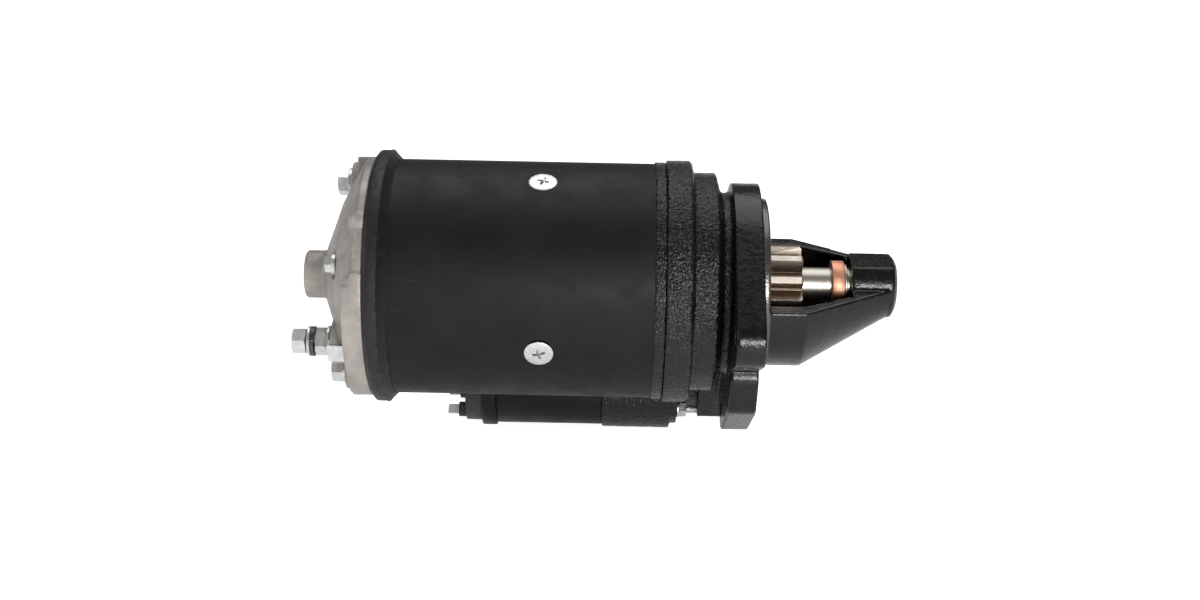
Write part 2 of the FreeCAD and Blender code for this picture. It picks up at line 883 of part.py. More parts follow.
def brush_plate_screws():
    screws = []
    for turn in HALVES:
        angle = f"screw_angle + {turn}"
        seat = "screw_seat_x - washer_thick"
        head = hexagon(f"ScrewHead{turn}", f"{seat} - screw_head_height", "screw_head_height",
                       "screw_head_flats", u="screw_circle", turn=angle, clock=8)
        shank = rod(f"ScrewShank{turn}", f"{seat} - 1",
                    "plate_x + plate_thick - screw_seat_x + washer_thick + 1.2",
                    "screw_rad", u="screw_circle", turn=angle)
        screws.append(fuse(f"PlateScrew{turn}", head, shank))
    return group("BrushPlateScrews", screws)


def cover_washers():
    """Washers of the through bolts, of the plate screws and of the main terminal stud."""
    rings = stud_washers()
    for turn in HALVES:
        rings.append(tube(f"BoltWasher{turn}", "bolt_pad_x - washer_thick", "washer_thick", "washer_rad",
                          "bolt_rad + fit_gap", u="bolt_circle", turn=f"bolt_angle + {turn}"))
        angle = f"screw_angle + {turn}"
        for level, radius in ((1, "5.6"), (2, "4.8")):
            rings.append(tube(f"ScrewWasher{turn}_{level}", f"screw_seat_x - washer_thick * {level} / 2",
                              "washer_thick / 2", radius, "screw_rad + fit_gap",
                              u="screw_circle", turn=angle))
    return group("CoverWashers", rings)


def brush_holders():
    holders = []
    for turn in QUARTERS:
        angle = f"pole_angle + {turn}"
        box = block(f"HolderBox{turn}", "holder_x", "holder_length", "holder_inner",
                    "holder_outer - holder_inner", "-holder_half", "2 * holder_half", angle)
        guide = block(f"HolderGuide{turn}", "brush_x - brush_gap", "brush_length + 2 * brush_gap",
                      "holder_inner - 1", "holder_outer - holder_inner - 0.6", "-brush_half - brush_gap",
                      "2 * brush_half + 2 * brush_gap", angle)
        holders.append(cut(f"BrushHolder{turn}", box, guide))
    return group("BrushHolders", holders)


def brush(number):
    """A carbon block whose inner end fits the commutator."""
    angle = f"pole_angle + {QUARTERS[number]}"
    blank = block(f"BrushBlank{number}", "brush_x", "brush_length", "commutator_rad - 2",
                  "brush_top - commutator_rad + 2", "-brush_half", "2 * brush_half", angle)
    face = rod(f"BrushFace{number}", "brush_x - 1", "brush_length + 2", "commutator_rad + run_gap")
    return cut(f"Brush{number + 1}", blank, face)


def brush_spring(number):
    """A coil spring between a brush and the closed end of its holder."""
    angle = value(f"pole_angle + {QUARTERS[number]}")
    turn = Rotation(Vector(1, 0, 0), angle).multiply(ALONG_U)
    middle = value("brush_x + brush_length / 2")
    foot = value("brush_top + spring_wire + 0.1")
    spot = Rotation(Vector(1, 0, 0), angle).multVec(Vector(middle, foot, 0))
    room = "holder_outer - 1.6 - brush_top - 2 * spring_wire - 0.3"
    return coil_spring(f"BrushSpring{number + 1}", room, "spring_rad", "spring_wire",
                       f"({room}) / 3", Placement(spot, turn))


def terminal_stud():
    head = hexagon("StudHead", "stud_head_x", "3.9", "nut_flats", clock=10, **STUD)
    shank = rod("StudShank", "stud_end_x", "stud_head_x - stud_end_x + 1", "stud_rad", **STUD)
    return fuse("TerminalStud", head, shank)


def terminal_nuts():
    """The nuts of the main terminal stud and of the solenoid's two power studs."""
    nuts = []
    for name, left, height, clock in (("Outer", "outer_nut_x", "outer_nut_height", 3),
                                      ("Inner", "inner_nut_x", "inner_nut_height", 19)):
        blank = hexagon(f"{name}Nut", left, height, "nut_flats", clock=clock, **STUD)
        hole = rod(f"{name}NutHole", f"{left} - 1", f"{height} + 2", "stud_rad + fit_gap", **STUD)
        nuts.append(cut(f"Terminal{name}Nut", blank, hole))
    return group("TerminalNuts", nuts + power_stud_nuts())


def stud_washers():
    """Spring and flat washers between the main terminal's nuts and under the inner nut."""
    between = "outer_nut_x + outer_nut_height"
    room = "inner_nut_x - outer_nut_x - outer_nut_height"
    below = "inner_nut_x + inner_nut_height"
    seat = "stud_boss_x - tab_thick - inner_nut_x - inner_nut_height"
    stack = [
        (between, f"({room}) * 0.45", "6.7"),
        (f"{between} + ({room}) * 0.45", f"({room}) * 0.25", "8"),
        (f"{between} + ({room}) * 0.7", f"({room}) * 0.3", "6.9"),
        (below, f"({seat}) * 0.5", "7"),
        (f"{below} + ({seat}) * 0.5", f"({seat}) * 0.5", "8.4"),
    ]
    return [
        tube(f"StackWasher{index}", left, length, radius, "stud_rad + fit_gap", **STUD)
        for index, (left, length, radius) in enumerate(stack)
    ]


def terminal_insulator():
    """A moulded sleeve round the stud, with a collar inside the casting."""
    sleeve = rod("SleeveOutside", "stud_boss_x", "stud_head_x - stud_boss_x", "stud_rad + 2.5", **STUD)
    collar = rod("SleeveCollar", "stud_head_x", "4.4", "stud_boss_rad - 2.6", **STUD)
    hole = rod("SleeveHole", "stud_boss_x - 1", "20", "stud_rad + fit_gap", **STUD)
    seat = rod("SleeveSeat", "stud_head_x - 0.1", "8", "nut_flats / 2 / cos(30) + 0.1", **STUD)
    return cut("TerminalInsulator", fuse("SleeveBlank", sleeve, collar), hole, seat)


def terminal_tab():
    """A plated tab washer under the nuts, with one leg bent along the boss."""
    inner = "stud_circle * cos(stud_angle - tab_turn)"
    side = "stud_circle * sin(stud_angle - tab_turn)"
    palm = block("TabPalm", "stud_boss_x - tab_thick", "tab_thick", f"{inner} - 7",
                 "stud_boss_rad + 7 + 0.1 + tab_thick", f"{side} - tab_width / 2", "tab_width", "tab_turn")
    leg = block("TabLeg", "stud_boss_x - tab_thick", "tab_length", f"{inner} + stud_boss_rad + 0.1",
                "tab_thick", f"{side} - tab_width / 2", "tab_width", "tab_turn")
    hole = rod("TabHole", "stud_boss_x - 4", "8", "stud_rad + fit_gap", **STUD)
    return cut("TerminalTab", fuse("TabBlank", palm, leg), hole)


def intermediate_bracket():
    web = turned("RimTurning", [
        ("rim_spigot_x", "rim_spigot_bore"), ("rim_spigot_x", "rim_spigot_rad"),
        ("rim_left", "rim_spigot_rad"), ("rim_left", "rim_rad"), ("rim_right", "rim_rad"),
        ("rim_right", "cavity_rad"), ("web_right", "cavity_rad - 2"), ("web_right", "hub_rad"),
        ("hub_right", "hub_rad"), ("hub_right", "centre_journal_rad + centre_bush_wall"),
        ("hub_left", "centre_journal_rad + centre_bush_wall"), ("hub_left", "hub_rad"),
        ("rim_left + 0.5", "hub_rad + 3"), ("rim_left + 0.5", "rim_spigot_bore"),
    ])
    return cut("IntermediateBracket", web, *bolt_holes("RimBolt", "rim_spigot_x - 1", "20",
                                                        "bolt_rad + fit_gap"))


def drive_end_bracket():
    body = new_body("DriveEndCasting")
    revolve(body, "Bell", [
        ("rim_right", "cavity_rad"), ("rim_right", "nose_rim_rad"),
        ("nose_rim_right - 1.5", "nose_rim_rad"), ("nose_rim_right", "nose_rim_rad - 1.5"),
        ("nose_rim_right", "step_rad"), ("step_right", "step_rad"), ("neck_left", "neck_rad"),
        ("-flange_thick - 2", "neck_rad"), ("-flange_thick", "neck_rad + 2"),
        ("-flange_thick", "flange_disc_rad"), ("0", "flange_disc_rad"),
        ("0", "spigot_rad"), ("spigot_length - 0.6", "spigot_rad"), ("spigot_length", "spigot_rad - 0.6"),
        ("spigot_length", "shell_rad"), ("shell_knee_x", "shell_rad"), ("cone_end_x", "tip_rad"),
        ("tip_x - tip_chamfer", "tip_rad"), ("tip_x", "tip_rad - 1.8 * tip_chamfer"),
        ("tip_x", "0"), ("nose_bush_x + nose_bush_length + 0.4", "0"),
        ("nose_bush_x + nose_bush_length + 0.4", "journal_rad + nose_bush_wall"),
        ("tip_wall_x", "journal_rad + nose_bush_wall"), ("tip_wall_x", "tunnel_end_rad"),
        ("shell_knee_x", "tunnel_rad"), ("cavity_taper_x", "tunnel_rad"),
        ("cavity_taper_x - 4", "cavity_rad"),
    ])
    ears = new_sketch(body, "EarSketch", "YZ_Plane", "-flange_thick")
    add_hull(ears, [("ear_circle", "0", "ear_rad"), ("0", "0", "flange_disc_rad"),
                    ("-ear_circle", "0", "ear_rad"), ("0", "0", "flange_disc_rad - 4")])
    pad(body, "Ears", ears, "flange_thick")
    foot = new_sketch(body, "FootSketch", "YZ_Plane", "-flange_thick")
    add_hull(foot, [("shoulder_y", "shoulder_z", "foot_rad"), ("-shoulder_y", "shoulder_z", "foot_rad"),
                    ("-knee_y", "knee_z", "foot_rad"), ("0", "-foot_circle", "ear_rad"),
                    ("knee_y", "knee_z", "foot_rad")])
    pad(body, "Foot", foot, "flange_thick")
    lobe = new_sketch(body, "LobeSketch", "YZ_Plane", "lobe_left", "solenoid_angle")
    add_hull(lobe, [("solenoid_circle", "0", "lobe_rad"), ("lobe_root", "0", "lobe_root_rad")])
    pad(body, "Lobe", lobe, "lobe_right - lobe_left")
    lugs = new_sketch(body, "LugSketch", "YZ_Plane", "lug_left", "solenoid_angle")
    add_hull(lugs, [("solenoid_circle", "-lug_spacing", "lug_rad"),
                    ("solenoid_circle", "lug_spacing", "lug_rad"),
                    ("lobe_root", "0", "lobe_root_rad")])
    pad(body, "Lugs", lugs, "lobe_right - lug_left")
    window = new_sketch(body, "WindowSketch", "XZ_Plane", "flange_disc_rad", lean="window_lean")
    add_outline(window, [("spigot_length", "window_z"), ("tip_x + 1", "window_z"),
                         ("tip_x + 1", "flange_disc_rad"), ("spigot_length", "flange_disc_rad")])
    pocket(body, "Window", window, "2 * flange_disc_rad")
    revolve(body, "Tip", [
        ("tip_wall_x", "journal_rad + nose_bush_wall"), ("tip_wall_x", "tip_rad"),
        ("tip_x - tip_chamfer", "tip_rad"), ("tip_x", "tip_rad - 1.8 * tip_chamfer"),
        ("tip_x", "0"), ("nose_bush_x + nose_bush_length + 0.4", "0"),
        ("nose_bush_x + nose_bush_length + 0.4", "journal_rad + nose_bush_wall"),
    ])
    facet = new_sketch(body, "FacetSketch", "XZ_Plane", "flange_disc_rad")
    add_outline(facet, [("tip_wall_x - 1", "tip_flat_z"), ("tip_flat_right", "tip_flat_z"),
                        ("tip_x + 1", "tip_flat_z - 2"), ("tip_x + 1", "tip_rad + 5"),
                        ("tip_wall_x - 1", "tip_rad + 5")])
    pocket(body, "Facet", facet, "2 * flange_disc_rad")
    holes = new_sketch(body, "EarHoleSketch", "YZ_Plane")
    for y, z in (("ear_circle", "0"), ("-ear_circle", "0"), ("0", "-foot_circle")):
        add_circle(holes, y, z, "ear_hole_rad")
    pocket(body, "EarHoles", holes, "flange_thick")
    pivot = {"x": "pivot_x", "u": "pivot_circle", "turn": "solenoid_angle"}
    extras = [cross_rod("PivotBoss", v="-pivot_half", length="2 * pivot_half",
                        radius="pivot_boss_rad", **pivot)]
    casting = fuse("BellCasting", body, *extras)
    tools = bolt_holes("BellBolt", "rim_right - 1", "bolt_tip_x - rim_right + 1.5", "bolt_rad + fit_gap")
    tools.append(rod("Cavity", "rim_right - 1", "cavity_taper_x - 4 - rim_right + 1", "cavity_rad"))
    tools.append(rod("Tunnel", "cavity_taper_x - 5", "shell_knee_x - cavity_taper_x + 5", "tunnel_rad"))
    tools.append(cross_rod("PivotSeat", v="pivot_half", length="14", radius="pivot_rad + 3.2", **pivot))
    tools.append(block("ForkRoom", "rim_right - 1", "fork_room_right - rim_right + 1", "20",
                       "fork_room_top - 20", "-fork_room_half", "2 * fork_room_half", "solenoid_angle"))
    tools.append(block("LeverRoom", "chamber_left", "chamber_right - chamber_left", "cavity_rad - 8",
                       "chamber_top - cavity_rad + 8", "-chamber_half", "2 * chamber_half",
                       "solenoid_angle"))
    tools.append(block("NeckRoom", "neck_room_left", "chamber_right - neck_room_left", "cavity_rad - 8",
                       "pivot_circle - cavity_rad + 8", "-chamber_half", "2 * chamber_half",
                       "solenoid_angle"))
    tools.append(cross_rod("PivotRoom", v="-chamber_half", length="2 * chamber_half",
                           radius="pivot_boss_rad - 0.5", **pivot))
    tools.append(rod("LinkRoom", "lobe_left - 1", "chamber_left - lobe_left + 1.5", "boot_bore",
                     **SOLENOID))
    tools.append(cross_rod("PivotHole", v="-pivot_half - 1", length="2 * pivot_half + 2",
                           radius="pivot_rad + fit_gap", **pivot))
    for side in (-1, 1):
        tools.append(rod(f"FixHole{side + 1}", "lug_left - 1", "fix_stud_right - lug_left + 1.5",
                         "fix_stud_rad + fit_gap", v=f"{side} * lug_spacing", **SOLENOID))
    return cut("DriveEndBracket", casting, *tools)


def lever_pivot_pin():
    place_at = {"x": "pivot_x", "u": "pivot_circle", "turn": "solenoid_angle"}
    pin = cross_rod("PivotShank", v="-pivot_half + 1", length="2 * pivot_half", radius="pivot_rad",
                    **place_at)
    head = cross_rod("PivotHead", v="pivot_half + 0.05", length="4", radius="pivot_rad + 2.5", **place_at)
    slot = block("PivotSlot", "pivot_x - 10", "20", "pivot_circle - 0.8", "1.6", "pivot_half + 2.4", "4",
                 "solenoid_angle")
    return cut("LeverPivotPin", fuse("PivotBlank", pin, head), slot)


# ---------------------------------------------------------------- solenoid

BATTERY_NUT_LEFT = "(cap_left - 5 - power_nut_height)"
LOCK_NUT_LEFT = "(power_nut_x - 2.1 * power_nut_height)"


def power_stud_place(side):
    """Where a power stud stands: the two stand across the cap."""
    offset = f"{side} * power_stud_spread"
    angle = "(power_stud_angle - solenoid_angle)"
    return {"u": f"solenoid_circle + {offset} * cos({angle})", "v": f"{offset} * sin({angle})",
            "turn": "solenoid_angle"}


def solenoid_case():
    outer = rod("CaseOutside", "case_left", "case_right - case_left", "case_rad", **SOLENOID)
    bore = rod("CaseBore", "case_left - 1", "case_right - case_left + 2", "case_rad - case_wall",
               **SOLENOID)
    return cut("SolenoidCase", outer, bore)


def solenoid_front_housing():
    block_rod = rod("FrontBlock", "case_right", "housing_step_x - case_right", "housing_rad", **SOLENOID)
    step = rod("FrontStep", "housing_step_x - 1", "housing_right - housing_step_x + 1",
               "housing_step_rad", **SOLENOID)
    lugs = [
        rod(f"FrontLug{side + 1}", "housing_step_x - 4", "housing_right - housing_step_x + 4",
            "fix_nut_flats / 2 + 1.4", v=f"{side} * lug_spacing", **SOLENOID)
        for side in (-1, 1)
    ]
    tools = [
        rod("FrontBore", "case_right - 1", "60", "housing_bore", **SOLENOID),
        rod("FrontRoom", "case_right - 1", "36", "housing_bore + 4", **SOLENOID),
    ]
    for side in (-1, 1):
        tools.append(rod(f"FrontHole{side + 1}", "fix_stud_left - 0.2", "30", "fix_stud_rad + fit_gap",
                         v=f"{side} * lug_spacing", **SOLENOID))
    return cut("SolenoidFrontHousing", fuse("FrontBlank", block_rod, step, *lugs), *tools)


def solenoid_clamp_ring():
    outer = rod("ClampOutside", "clamp_left", "case_left - clamp_left", "clamp_rad", **SOLENOID)
    bore = rod("ClampBore", "clamp_left - 1", "case_left - clamp_left + 2", "cap_rad + 0.05", **SOLENOID)
    return cut("SolenoidClampRing", outer, bore)


def spade_place(side):
    """Where a spade terminal stands: both are on the side of the cap away from the shaft."""
    return {"u": "solenoid_circle + spade_drop * cos(8)", "v": f"spade_drop * sin(8) * {side} * 2.4 - 6",
            "turn": "solenoid_angle"}


def solenoid_cap():
    """The moulded end cap, open towards the case, with a raised pad at each terminal."""
    outer = rod("CapOutside", "cap_left", "case_left - cap_left", "cap_rad", **SOLENOID)
    pads = [
        rod(f"CapPad{side + 1}", "cap_left - 5", "6", "6.6", **power_stud_place(side))
        for side in (-1, 1)
    ]
    bits = [rod(f"CapBit{side + 1}", "cap_left - 5.9", "7", "4.4", **spade_place(side)) for side in (-1, 1)]
    tools = [rod("CapBore", "cap_left + cap_wall", "40", "cap_bore", **SOLENOID)]
    for side in (-1, 1):
        tools.append(rod(f"CapStudHole{side + 1}", "cap_left - 10", "20", "stud_rad + fit_gap",
                         **power_stud_place(side)))
        tools.append(spade_blade(f"CapSlot{side + 1}", side, "0.1"))
    return cut("SolenoidCap", fuse("CapBlank", outer, *pads, *bits), *tools)


def spade_blade(name, side, gap):
    """A flat blade through the cap; gap widens it for its slot."""
    place_at = spade_place(side)
    return block(name, "cap_left - 12.4", f"18 + {gap}", f"{place_at['u']} - 0.5 - {gap}", f"1 + 2 * {gap}",
                 f"{place_at['v']} - 3.1 - {gap}", f"6.2 + 2 * {gap}", "solenoid_angle")


def spade_terminals():
    return group("SpadeTerminals", [spade_blade(f"SpadeBlade{side + 1}", side, "0") for side in (-1, 1)])


def solenoid_power_studs():
    """The battery stud and the motor stud, with their contact heads inside the cap.

    A relief ends each stud's thread under its outermost nut.
    """
    studs = []
    for side, nut_left in ((-1, BATTERY_NUT_LEFT), (1, LOCK_NUT_LEFT)):
        head = hexagon(f"PowerHead{side + 1}", "cap_left + cap_wall", "3", "12", **power_stud_place(side))
        shank = rod(f"PowerShank{side + 1}", "power_stud_end_x",
                    "cap_left + cap_wall - power_stud_end_x + 1", "stud_rad", **power_stud_place(side))
        relief = tube(f"PowerRelief{side + 1}", f"{nut_left} - relief_width", "relief_width",
                      "stud_rad + 1", "stud_rad - relief_depth", **power_stud_place(side))
        studs.append(cut(f"PowerStud{side + 1}", fuse(f"PowerBlank{side + 1}", head, shank), relief))
    return group("PowerStuds", studs)


def power_stud_nuts():
    """One nut clamps the battery stud to the cap; the motor stud has one more, which holds the strap."""
    nuts = []
    for name, side, left, clock in (("Battery", -1, BATTERY_NUT_LEFT, 7),
                                    ("Motor", 1, "power_nut_x - power_nut_height", 18),
                                    ("Lock", 1, LOCK_NUT_LEFT, 3)):
        blank = hexagon(f"{name}NutBlank", left, "power_nut_height", "nut_flats", clock=clock,
                        **power_stud_place(side))
        hole = rod(f"{name}NutHole", f"{left} - 1", "power_nut_height + 2", "stud_rad + fit_gap",
                   **power_stud_place(side))
        nuts.append(cut(f"{name}Nut", blank, hole))
    return nuts


def solenoid_fixings():
    """Two fixing studs, each with a washer and a nut against the front housing."""
    pieces = []
    for side in (-1, 1):
        spot = {"v": f"{side} * lug_spacing", **SOLENOID}
        pieces.append(rod(f"FixStud{side + 1}", "fix_stud_left", "fix_stud_right - fix_stud_left",
                          "fix_stud_rad", **spot))
        hole = rod(f"FixNutHole{side + 1}", "housing_right - 1", "12", "fix_stud_rad + fit_gap", **spot)
        washer = rod(f"FixWasher{side + 1}", "housing_right", "fix_washer_thick", "fix_nut_flats / 2 + 1",
                     **spot)
        nut = hexagon(f"FixNut{side + 1}", "housing_right + fix_washer_thick", "fix_nut_height",
                      "fix_nut_flats", clock=9, **spot)
        pieces.append(cut(f"FixNutSet{side + 1}", fuse(f"FixNutBlank{side + 1}", washer, nut), hole))
    return group("SolenoidFixings", pieces)


def solenoid_bobbin():
    barrel = rod("BobbinBarrel", "core_left + 0.1", "case_right - core_left - 0.4", "bobbin_rad",
                 **SOLENOID)
    left = rod("BobbinLeft", "core_left + 0.1", "winding_left - core_left - 0.2", "winding_rad", **SOLENOID)
    right = rod("BobbinRight", "winding_right + 0.1", "case_right - winding_right - 0.3", "winding_rad",
                **SOLENOID)
    bore = rod("BobbinBore", "case_left", "80", "bobbin_bore", **SOLENOID)
    return cut("SolenoidBobbin", fuse("BobbinBlank", barrel, left, right), bore)


def solenoid_winding():
    outer = rod("WindingOutside", "winding_left", "winding_right - winding_left", "winding_rad", **SOLENOID)
    bore = rod("WindingBore", "winding_left - 1", "winding_right - winding_left + 2",
               "bobbin_rad + 0.05", **SOLENOID)
    return cut("SolenoidWinding", outer, bore)


def solenoid_core():
    """The fixed core with its end plate, drilled for the contact rod."""
    plate = rod("CorePlate", "case_left", "core_left - case_left", "case_rad - case_wall - 0.05",
                **SOLENOID)
    nose = rod("CoreNose", "core_left - 1", "core_face_x - core_left + 1", "bobbin_bore - 0.1", **SOLENOID)
    hole = rod("CoreHole", "case_left - 1", "60", "contact_rod_rad + run_gap + 0.05", **SOLENOID)
    return cut("SolenoidCore", fuse("CoreBlank", plate, nose), hole)


def plunger():
    outer = rod("PlungerOutside", "plunger_left", "plunger_right - plunger_left", "plunger_rad", **SOLENOID)
    pit = rod("PlungerPit", "plunger_left - 1", "17", "spring_rad + 4.4", **SOLENOID)
    return cut("Plunger", outer, pit)


def plunger_spring():
    """The return spring between the fixed core and the bottom of the plunger's pit."""
    turn = value("solenoid_angle")
    centre = Rotation(Vector(1, 0, 0), turn).multVec(Vector(value("core_face_x + 1.2"),
                                                              value("solenoid_circle"), 0))
    room = "plunger_left + 16 - core_face_x - 2.4"
    return coil_spring("PlungerSpring", room, "spring_rad + 2.4", "0.9", f"({room}) / 6",
                       Placement(centre, ALONG_X))


def plunger_link():
    """A rod from the plunger to a clevis whose pin the lever's finger pulls."""
    stem = rod("LinkStem", "plunger_right", "link_pin_x - plunger_right - 7", "link_rad", **SOLENOID)
    cheek_inner = "lever_finger_half + 0.4"
    bridge = block("LinkBridge", "link_pin_x - 9.5", "3.2", "solenoid_circle - 5.5", "11",
                   f"-({cheek_inner} + link_cheek)", f"2 * ({cheek_inner} + link_cheek)", "solenoid_angle")
    cheeks = [
        block("LinkCheekLow", "link_pin_x - 8", "12.4", "solenoid_circle - 5.5", "11",
              f"-({cheek_inner} + link_cheek)", "link_cheek", "solenoid_angle"),
        block("LinkCheekHigh", "link_pin_x - 8", "12.4", "solenoid_circle - 5.5", "11",
              cheek_inner, "link_cheek", "solenoid_angle"),
    ]
    pin = cross_rod("LinkPin", "link_pin_x", "solenoid_circle", f"-({cheek_inner} + link_cheek) - 0.5",
                    f"2 * ({cheek_inner} + link_cheek) + 1", "link_pin_rad", "solenoid_angle")
    return fuse("PlungerLink", stem, bridge, *cheeks, pin)


def contact_plate():
    disc = rod("ContactDisc", "contact_x", "contact_thick", "contact_rad", **SOLENOID)
    hole = rod("ContactDiscHole", "contact_x - 1", "contact_thick + 2", "contact_rod_rad", **SOLENOID)
    return cut("ContactPlate", disc, hole)


def contact_rod():
    """The rod that the plunger pushes, with an insulating collar each side of the contact plate."""
    shaft = rod("ContactShaft", "contact_x - 2", "contact_rod_right - contact_x + 2", "contact_rod_rad",
                **SOLENOID)
    collar = rod("ContactCollar", "contact_x + contact_thick", "2", "contact_rod_rad + 3", **SOLENOID)
    cap = rod("ContactCapCollar", "contact_x - 2", "2", "contact_rod_rad + 2", **SOLENOID)
    return fuse("ContactRod", shaft, collar, cap)


def plunger_boot():
    """A rubber sleeve between the front housing and the lobe of the bracket."""
    outer = rod("BootOutside", "housing_right", "lobe_left - housing_right", "boot_rad", **SOLENOID)
    bore = rod("BootBore", "housing_right - 1", "20", "boot_bore", **SOLENOID)
    return cut("PlungerBoot", outer, bore)


# ---------------------------------------------------------------- armature

def armature_shaft():
    """A stepped shaft with a straight-sided spline for the drive."""
    body = new_body("ArmatureShaft")
    revolve(body, "ShaftTurning", [
        ("shaft_left", "0"), ("shaft_left", "journal_rad - 0.8"), ("shaft_left + 0.8", "journal_rad"),
        ("rear_shoulder_x", "journal_rad"), ("rear_shoulder_x", "rear_shaft_rad"),
        ("core_seat_left", "rear_shaft_rad"), ("core_seat_left", "core_seat_rad"),
        ("core_seat_right", "core_seat_rad"), ("core_seat_right", "centre_journal_rad"),
        ("drive_shaft_left - 1", "centre_journal_rad"), ("drive_shaft_left - 1", "drive_shaft_rad"),
        ("nose_shoulder_x", "drive_shaft_rad"), ("nose_shoulder_x", "journal_rad"),
        ("shaft_right - 0.8", "journal_rad"), ("shaft_right", "journal_rad - 0.8"), ("shaft_right", "0"),
    ])
    tooth = new_sketch(body, "SplineSketch", "YZ_Plane", "spline_left")
    add_outline(tooth, [("drive_shaft_rad - 2", "-spline_half"), ("spline_rad", "-spline_half"),
                        ("spline_rad", "spline_half"), ("drive_shaft_rad - 2", "spline_half")])
    spline = pad(body, "SplineTooth", tooth, "spline_right - spline_left")
    polar(body, "Spline", spline, "spline_count")
    return body


def armature_core():
    """The laminated core with its winding slots."""
    body = new_body("ArmatureCore")
    revolve(body, "CoreStack", [
        ("armature_left", "core_seat_rad"), ("armature_left", "armature_rad"),
        ("armature_right", "armature_rad"), ("armature_right", "core_seat_rad"),
    ])
    slot_sketch = new_sketch(body, "SlotSketch", "YZ_Plane", "armature_right + 1")
    add_outline(slot_sketch, [("slot_bottom", "-slot_half"), ("armature_rad + 2", "-slot_half"),
                              ("armature_rad + 2", "slot_half"), ("slot_bottom", "slot_half")])
    slot = pocket(body, "Slot", slot_sketch, "armature_right - armature_left + 2")
    polar(body, "Slots", slot, "slot_count")
    return body


def armature_winding():
    """Copper bars in the slots, joined by the overhang at each end of the core."""
    body = new_body("ArmatureWinding")
    revolve(body, "RearOverhang", [
        ("armature_left - overhang_length", "overhang_bore"),
        ("armature_left - overhang_length", "overhang_rad - 3"),
        ("armature_left - overhang_length + 2", "overhang_rad"), ("armature_left - 0.1", "overhang_rad"),
        ("armature_left - 0.1", "overhang_bore"),
    ])
    bar_sketch = new_sketch(body, "BarSketch", "YZ_Plane", "armature_left - 2")
    add_outline(bar_sketch, [
        ("slot_bottom + 0.2", "-winding_bar_half"), ("winding_bar_top", "-winding_bar_half"),
        ("winding_bar_top", "winding_bar_half"), ("slot_bottom + 0.2", "winding_bar_half"),
    ])
    bar = pad(body, "Bar", bar_sketch, "armature_right - armature_left + 4")
    polar(body, "Bars", bar, "slot_count")
    revolve(body, "FrontOverhang", [
        ("armature_right + 0.1", "overhang_bore"), ("armature_right + 0.1", "overhang_rad"),
        ("armature_right + overhang_length - 2", "overhang_rad"),
        ("armature_right + overhang_length", "overhang_rad - 3"),
        ("armature_right + overhang_length", "overhang_bore"),
    ])
    return body


def commutator():
    """Copper segments with undercut mica between them, and a riser for the winding."""
    body = new_body("Commutator")
    revolve(body, "SegmentRing", [
        ("commutator_left", "commutator_bore"), ("commutator_left", "commutator_rad"),
        ("riser_left", "commutator_rad"), ("riser_left", "riser_rad"),
        ("commutator_right", "riser_rad"), ("commutator_right", "commutator_bore"),
    ])
    mica = new_sketch(body, "MicaSketch", "YZ_Plane", "riser_left")
    add_outline(mica, [("commutator_rad - mica_depth", "-mica_half"), ("riser_rad", "-mica_half"),
                       ("riser_rad", "mica_half"), ("commutator_rad - mica_depth", "mica_half")])
    slit = pocket(body, "MicaSlit", mica, "riser_left - commutator_left + 1")
    polar(body, "MicaSlits", slit, "segment_count")
    return body


def commutator_hub():
    return tube("CommutatorHub", "commutator_left - 1", "commutator_right - commutator_left + 1",
                "commutator_bore", "core_seat_rad")


# ---------------------------------------------------------------- drive

def drive_sleeve():
    """A sleeve with straight internal splines that carries the clutch shell."""
    body = new_body("DriveSleeve")
    bore = "drive_shaft_rad + run_gap"
    revolve(body, "SleeveTurning", [
        ("sleeve_left", bore), ("sleeve_left", "sleeve_rad"),
        ("sleeve_right", "sleeve_rad"), ("sleeve_right", bore),
    ])
    groove = new_sketch(body, "SleeveGrooveSketch", "YZ_Plane", "sleeve_right + 1")
    add_outline(groove, [("drive_shaft_rad - 2", "-spline_half - spline_gap"),
                         ("spline_rad + spline_gap", "-spline_half - spline_gap"),
                         ("spline_rad + spline_gap", "spline_half + spline_gap"),
                         ("drive_shaft_rad - 2", "spline_half + spline_gap")])
    slot = pocket(body, "SleeveGroove", groove, "sleeve_right - sleeve_left + 2")
    polar(body, "SleeveGrooves", slot, "spline_count")
    return body


def operating_collar():
    """The grooved collar that the lever's fork moves."""
    return turned("OperatingCollar", [
        ("collar_left", "sleeve_rad"), ("collar_left", "flange_rad"), ("groove_left", "flange_rad"),
        ("groove_left", "groove_rad"), ("groove_right", "groove_rad"), ("groove_right", "flange_rad"),
        ("guide_right", "flange_rad"), ("guide_right", "sleeve_rad"),
    ])


def collar_spring():
    room = "shell_back_x - guide_right - 2.4"
    return coil_spring("CollarSpring", room, "16.4", "0.8", f"({room}) / 1.02",
                       Placement(Vector(value("guide_right + 1.2"), 0, 0), ALONG_X))


def clutch_shell():
    """The driving cup of the roller clutch."""
    return turned("ClutchShell", [
        ("shell_back_x", "sleeve_rad"), ("shell_back_x", "clutch_back_rad"),
        ("shell_shoulder_x", "clutch_back_rad"), ("shell_shoulder_x", "clutch_rad - 2"),
        ("shell_shoulder_x + 2", "clutch_rad"), ("shell_front_x", "clutch_rad"),
        ("shell_front_x", "clutch_bore"), ("sleeve_right", "clutch_bore"),
        ("sleeve_right", "sleeve_rad"),
    ])


def clutch_cover():
    return tube("ClutchCover", "shell_front_x", "shell_cover_x - shell_front_x", "clutch_rad - 0.6",
                "race_rad + 0.4")


def clutch_rollers():
    pitch = "(race_rad + clutch_bore) / 2"
    return group("ClutchRollers", [
        rod(f"Roller{step}", "shell_front_x - roller_length - 1", "roller_length", "roller_rad",
            u=pitch, turn=f"{step} * 360 / roller_count")
        for step in range(int(value("roller_count")))
    ])


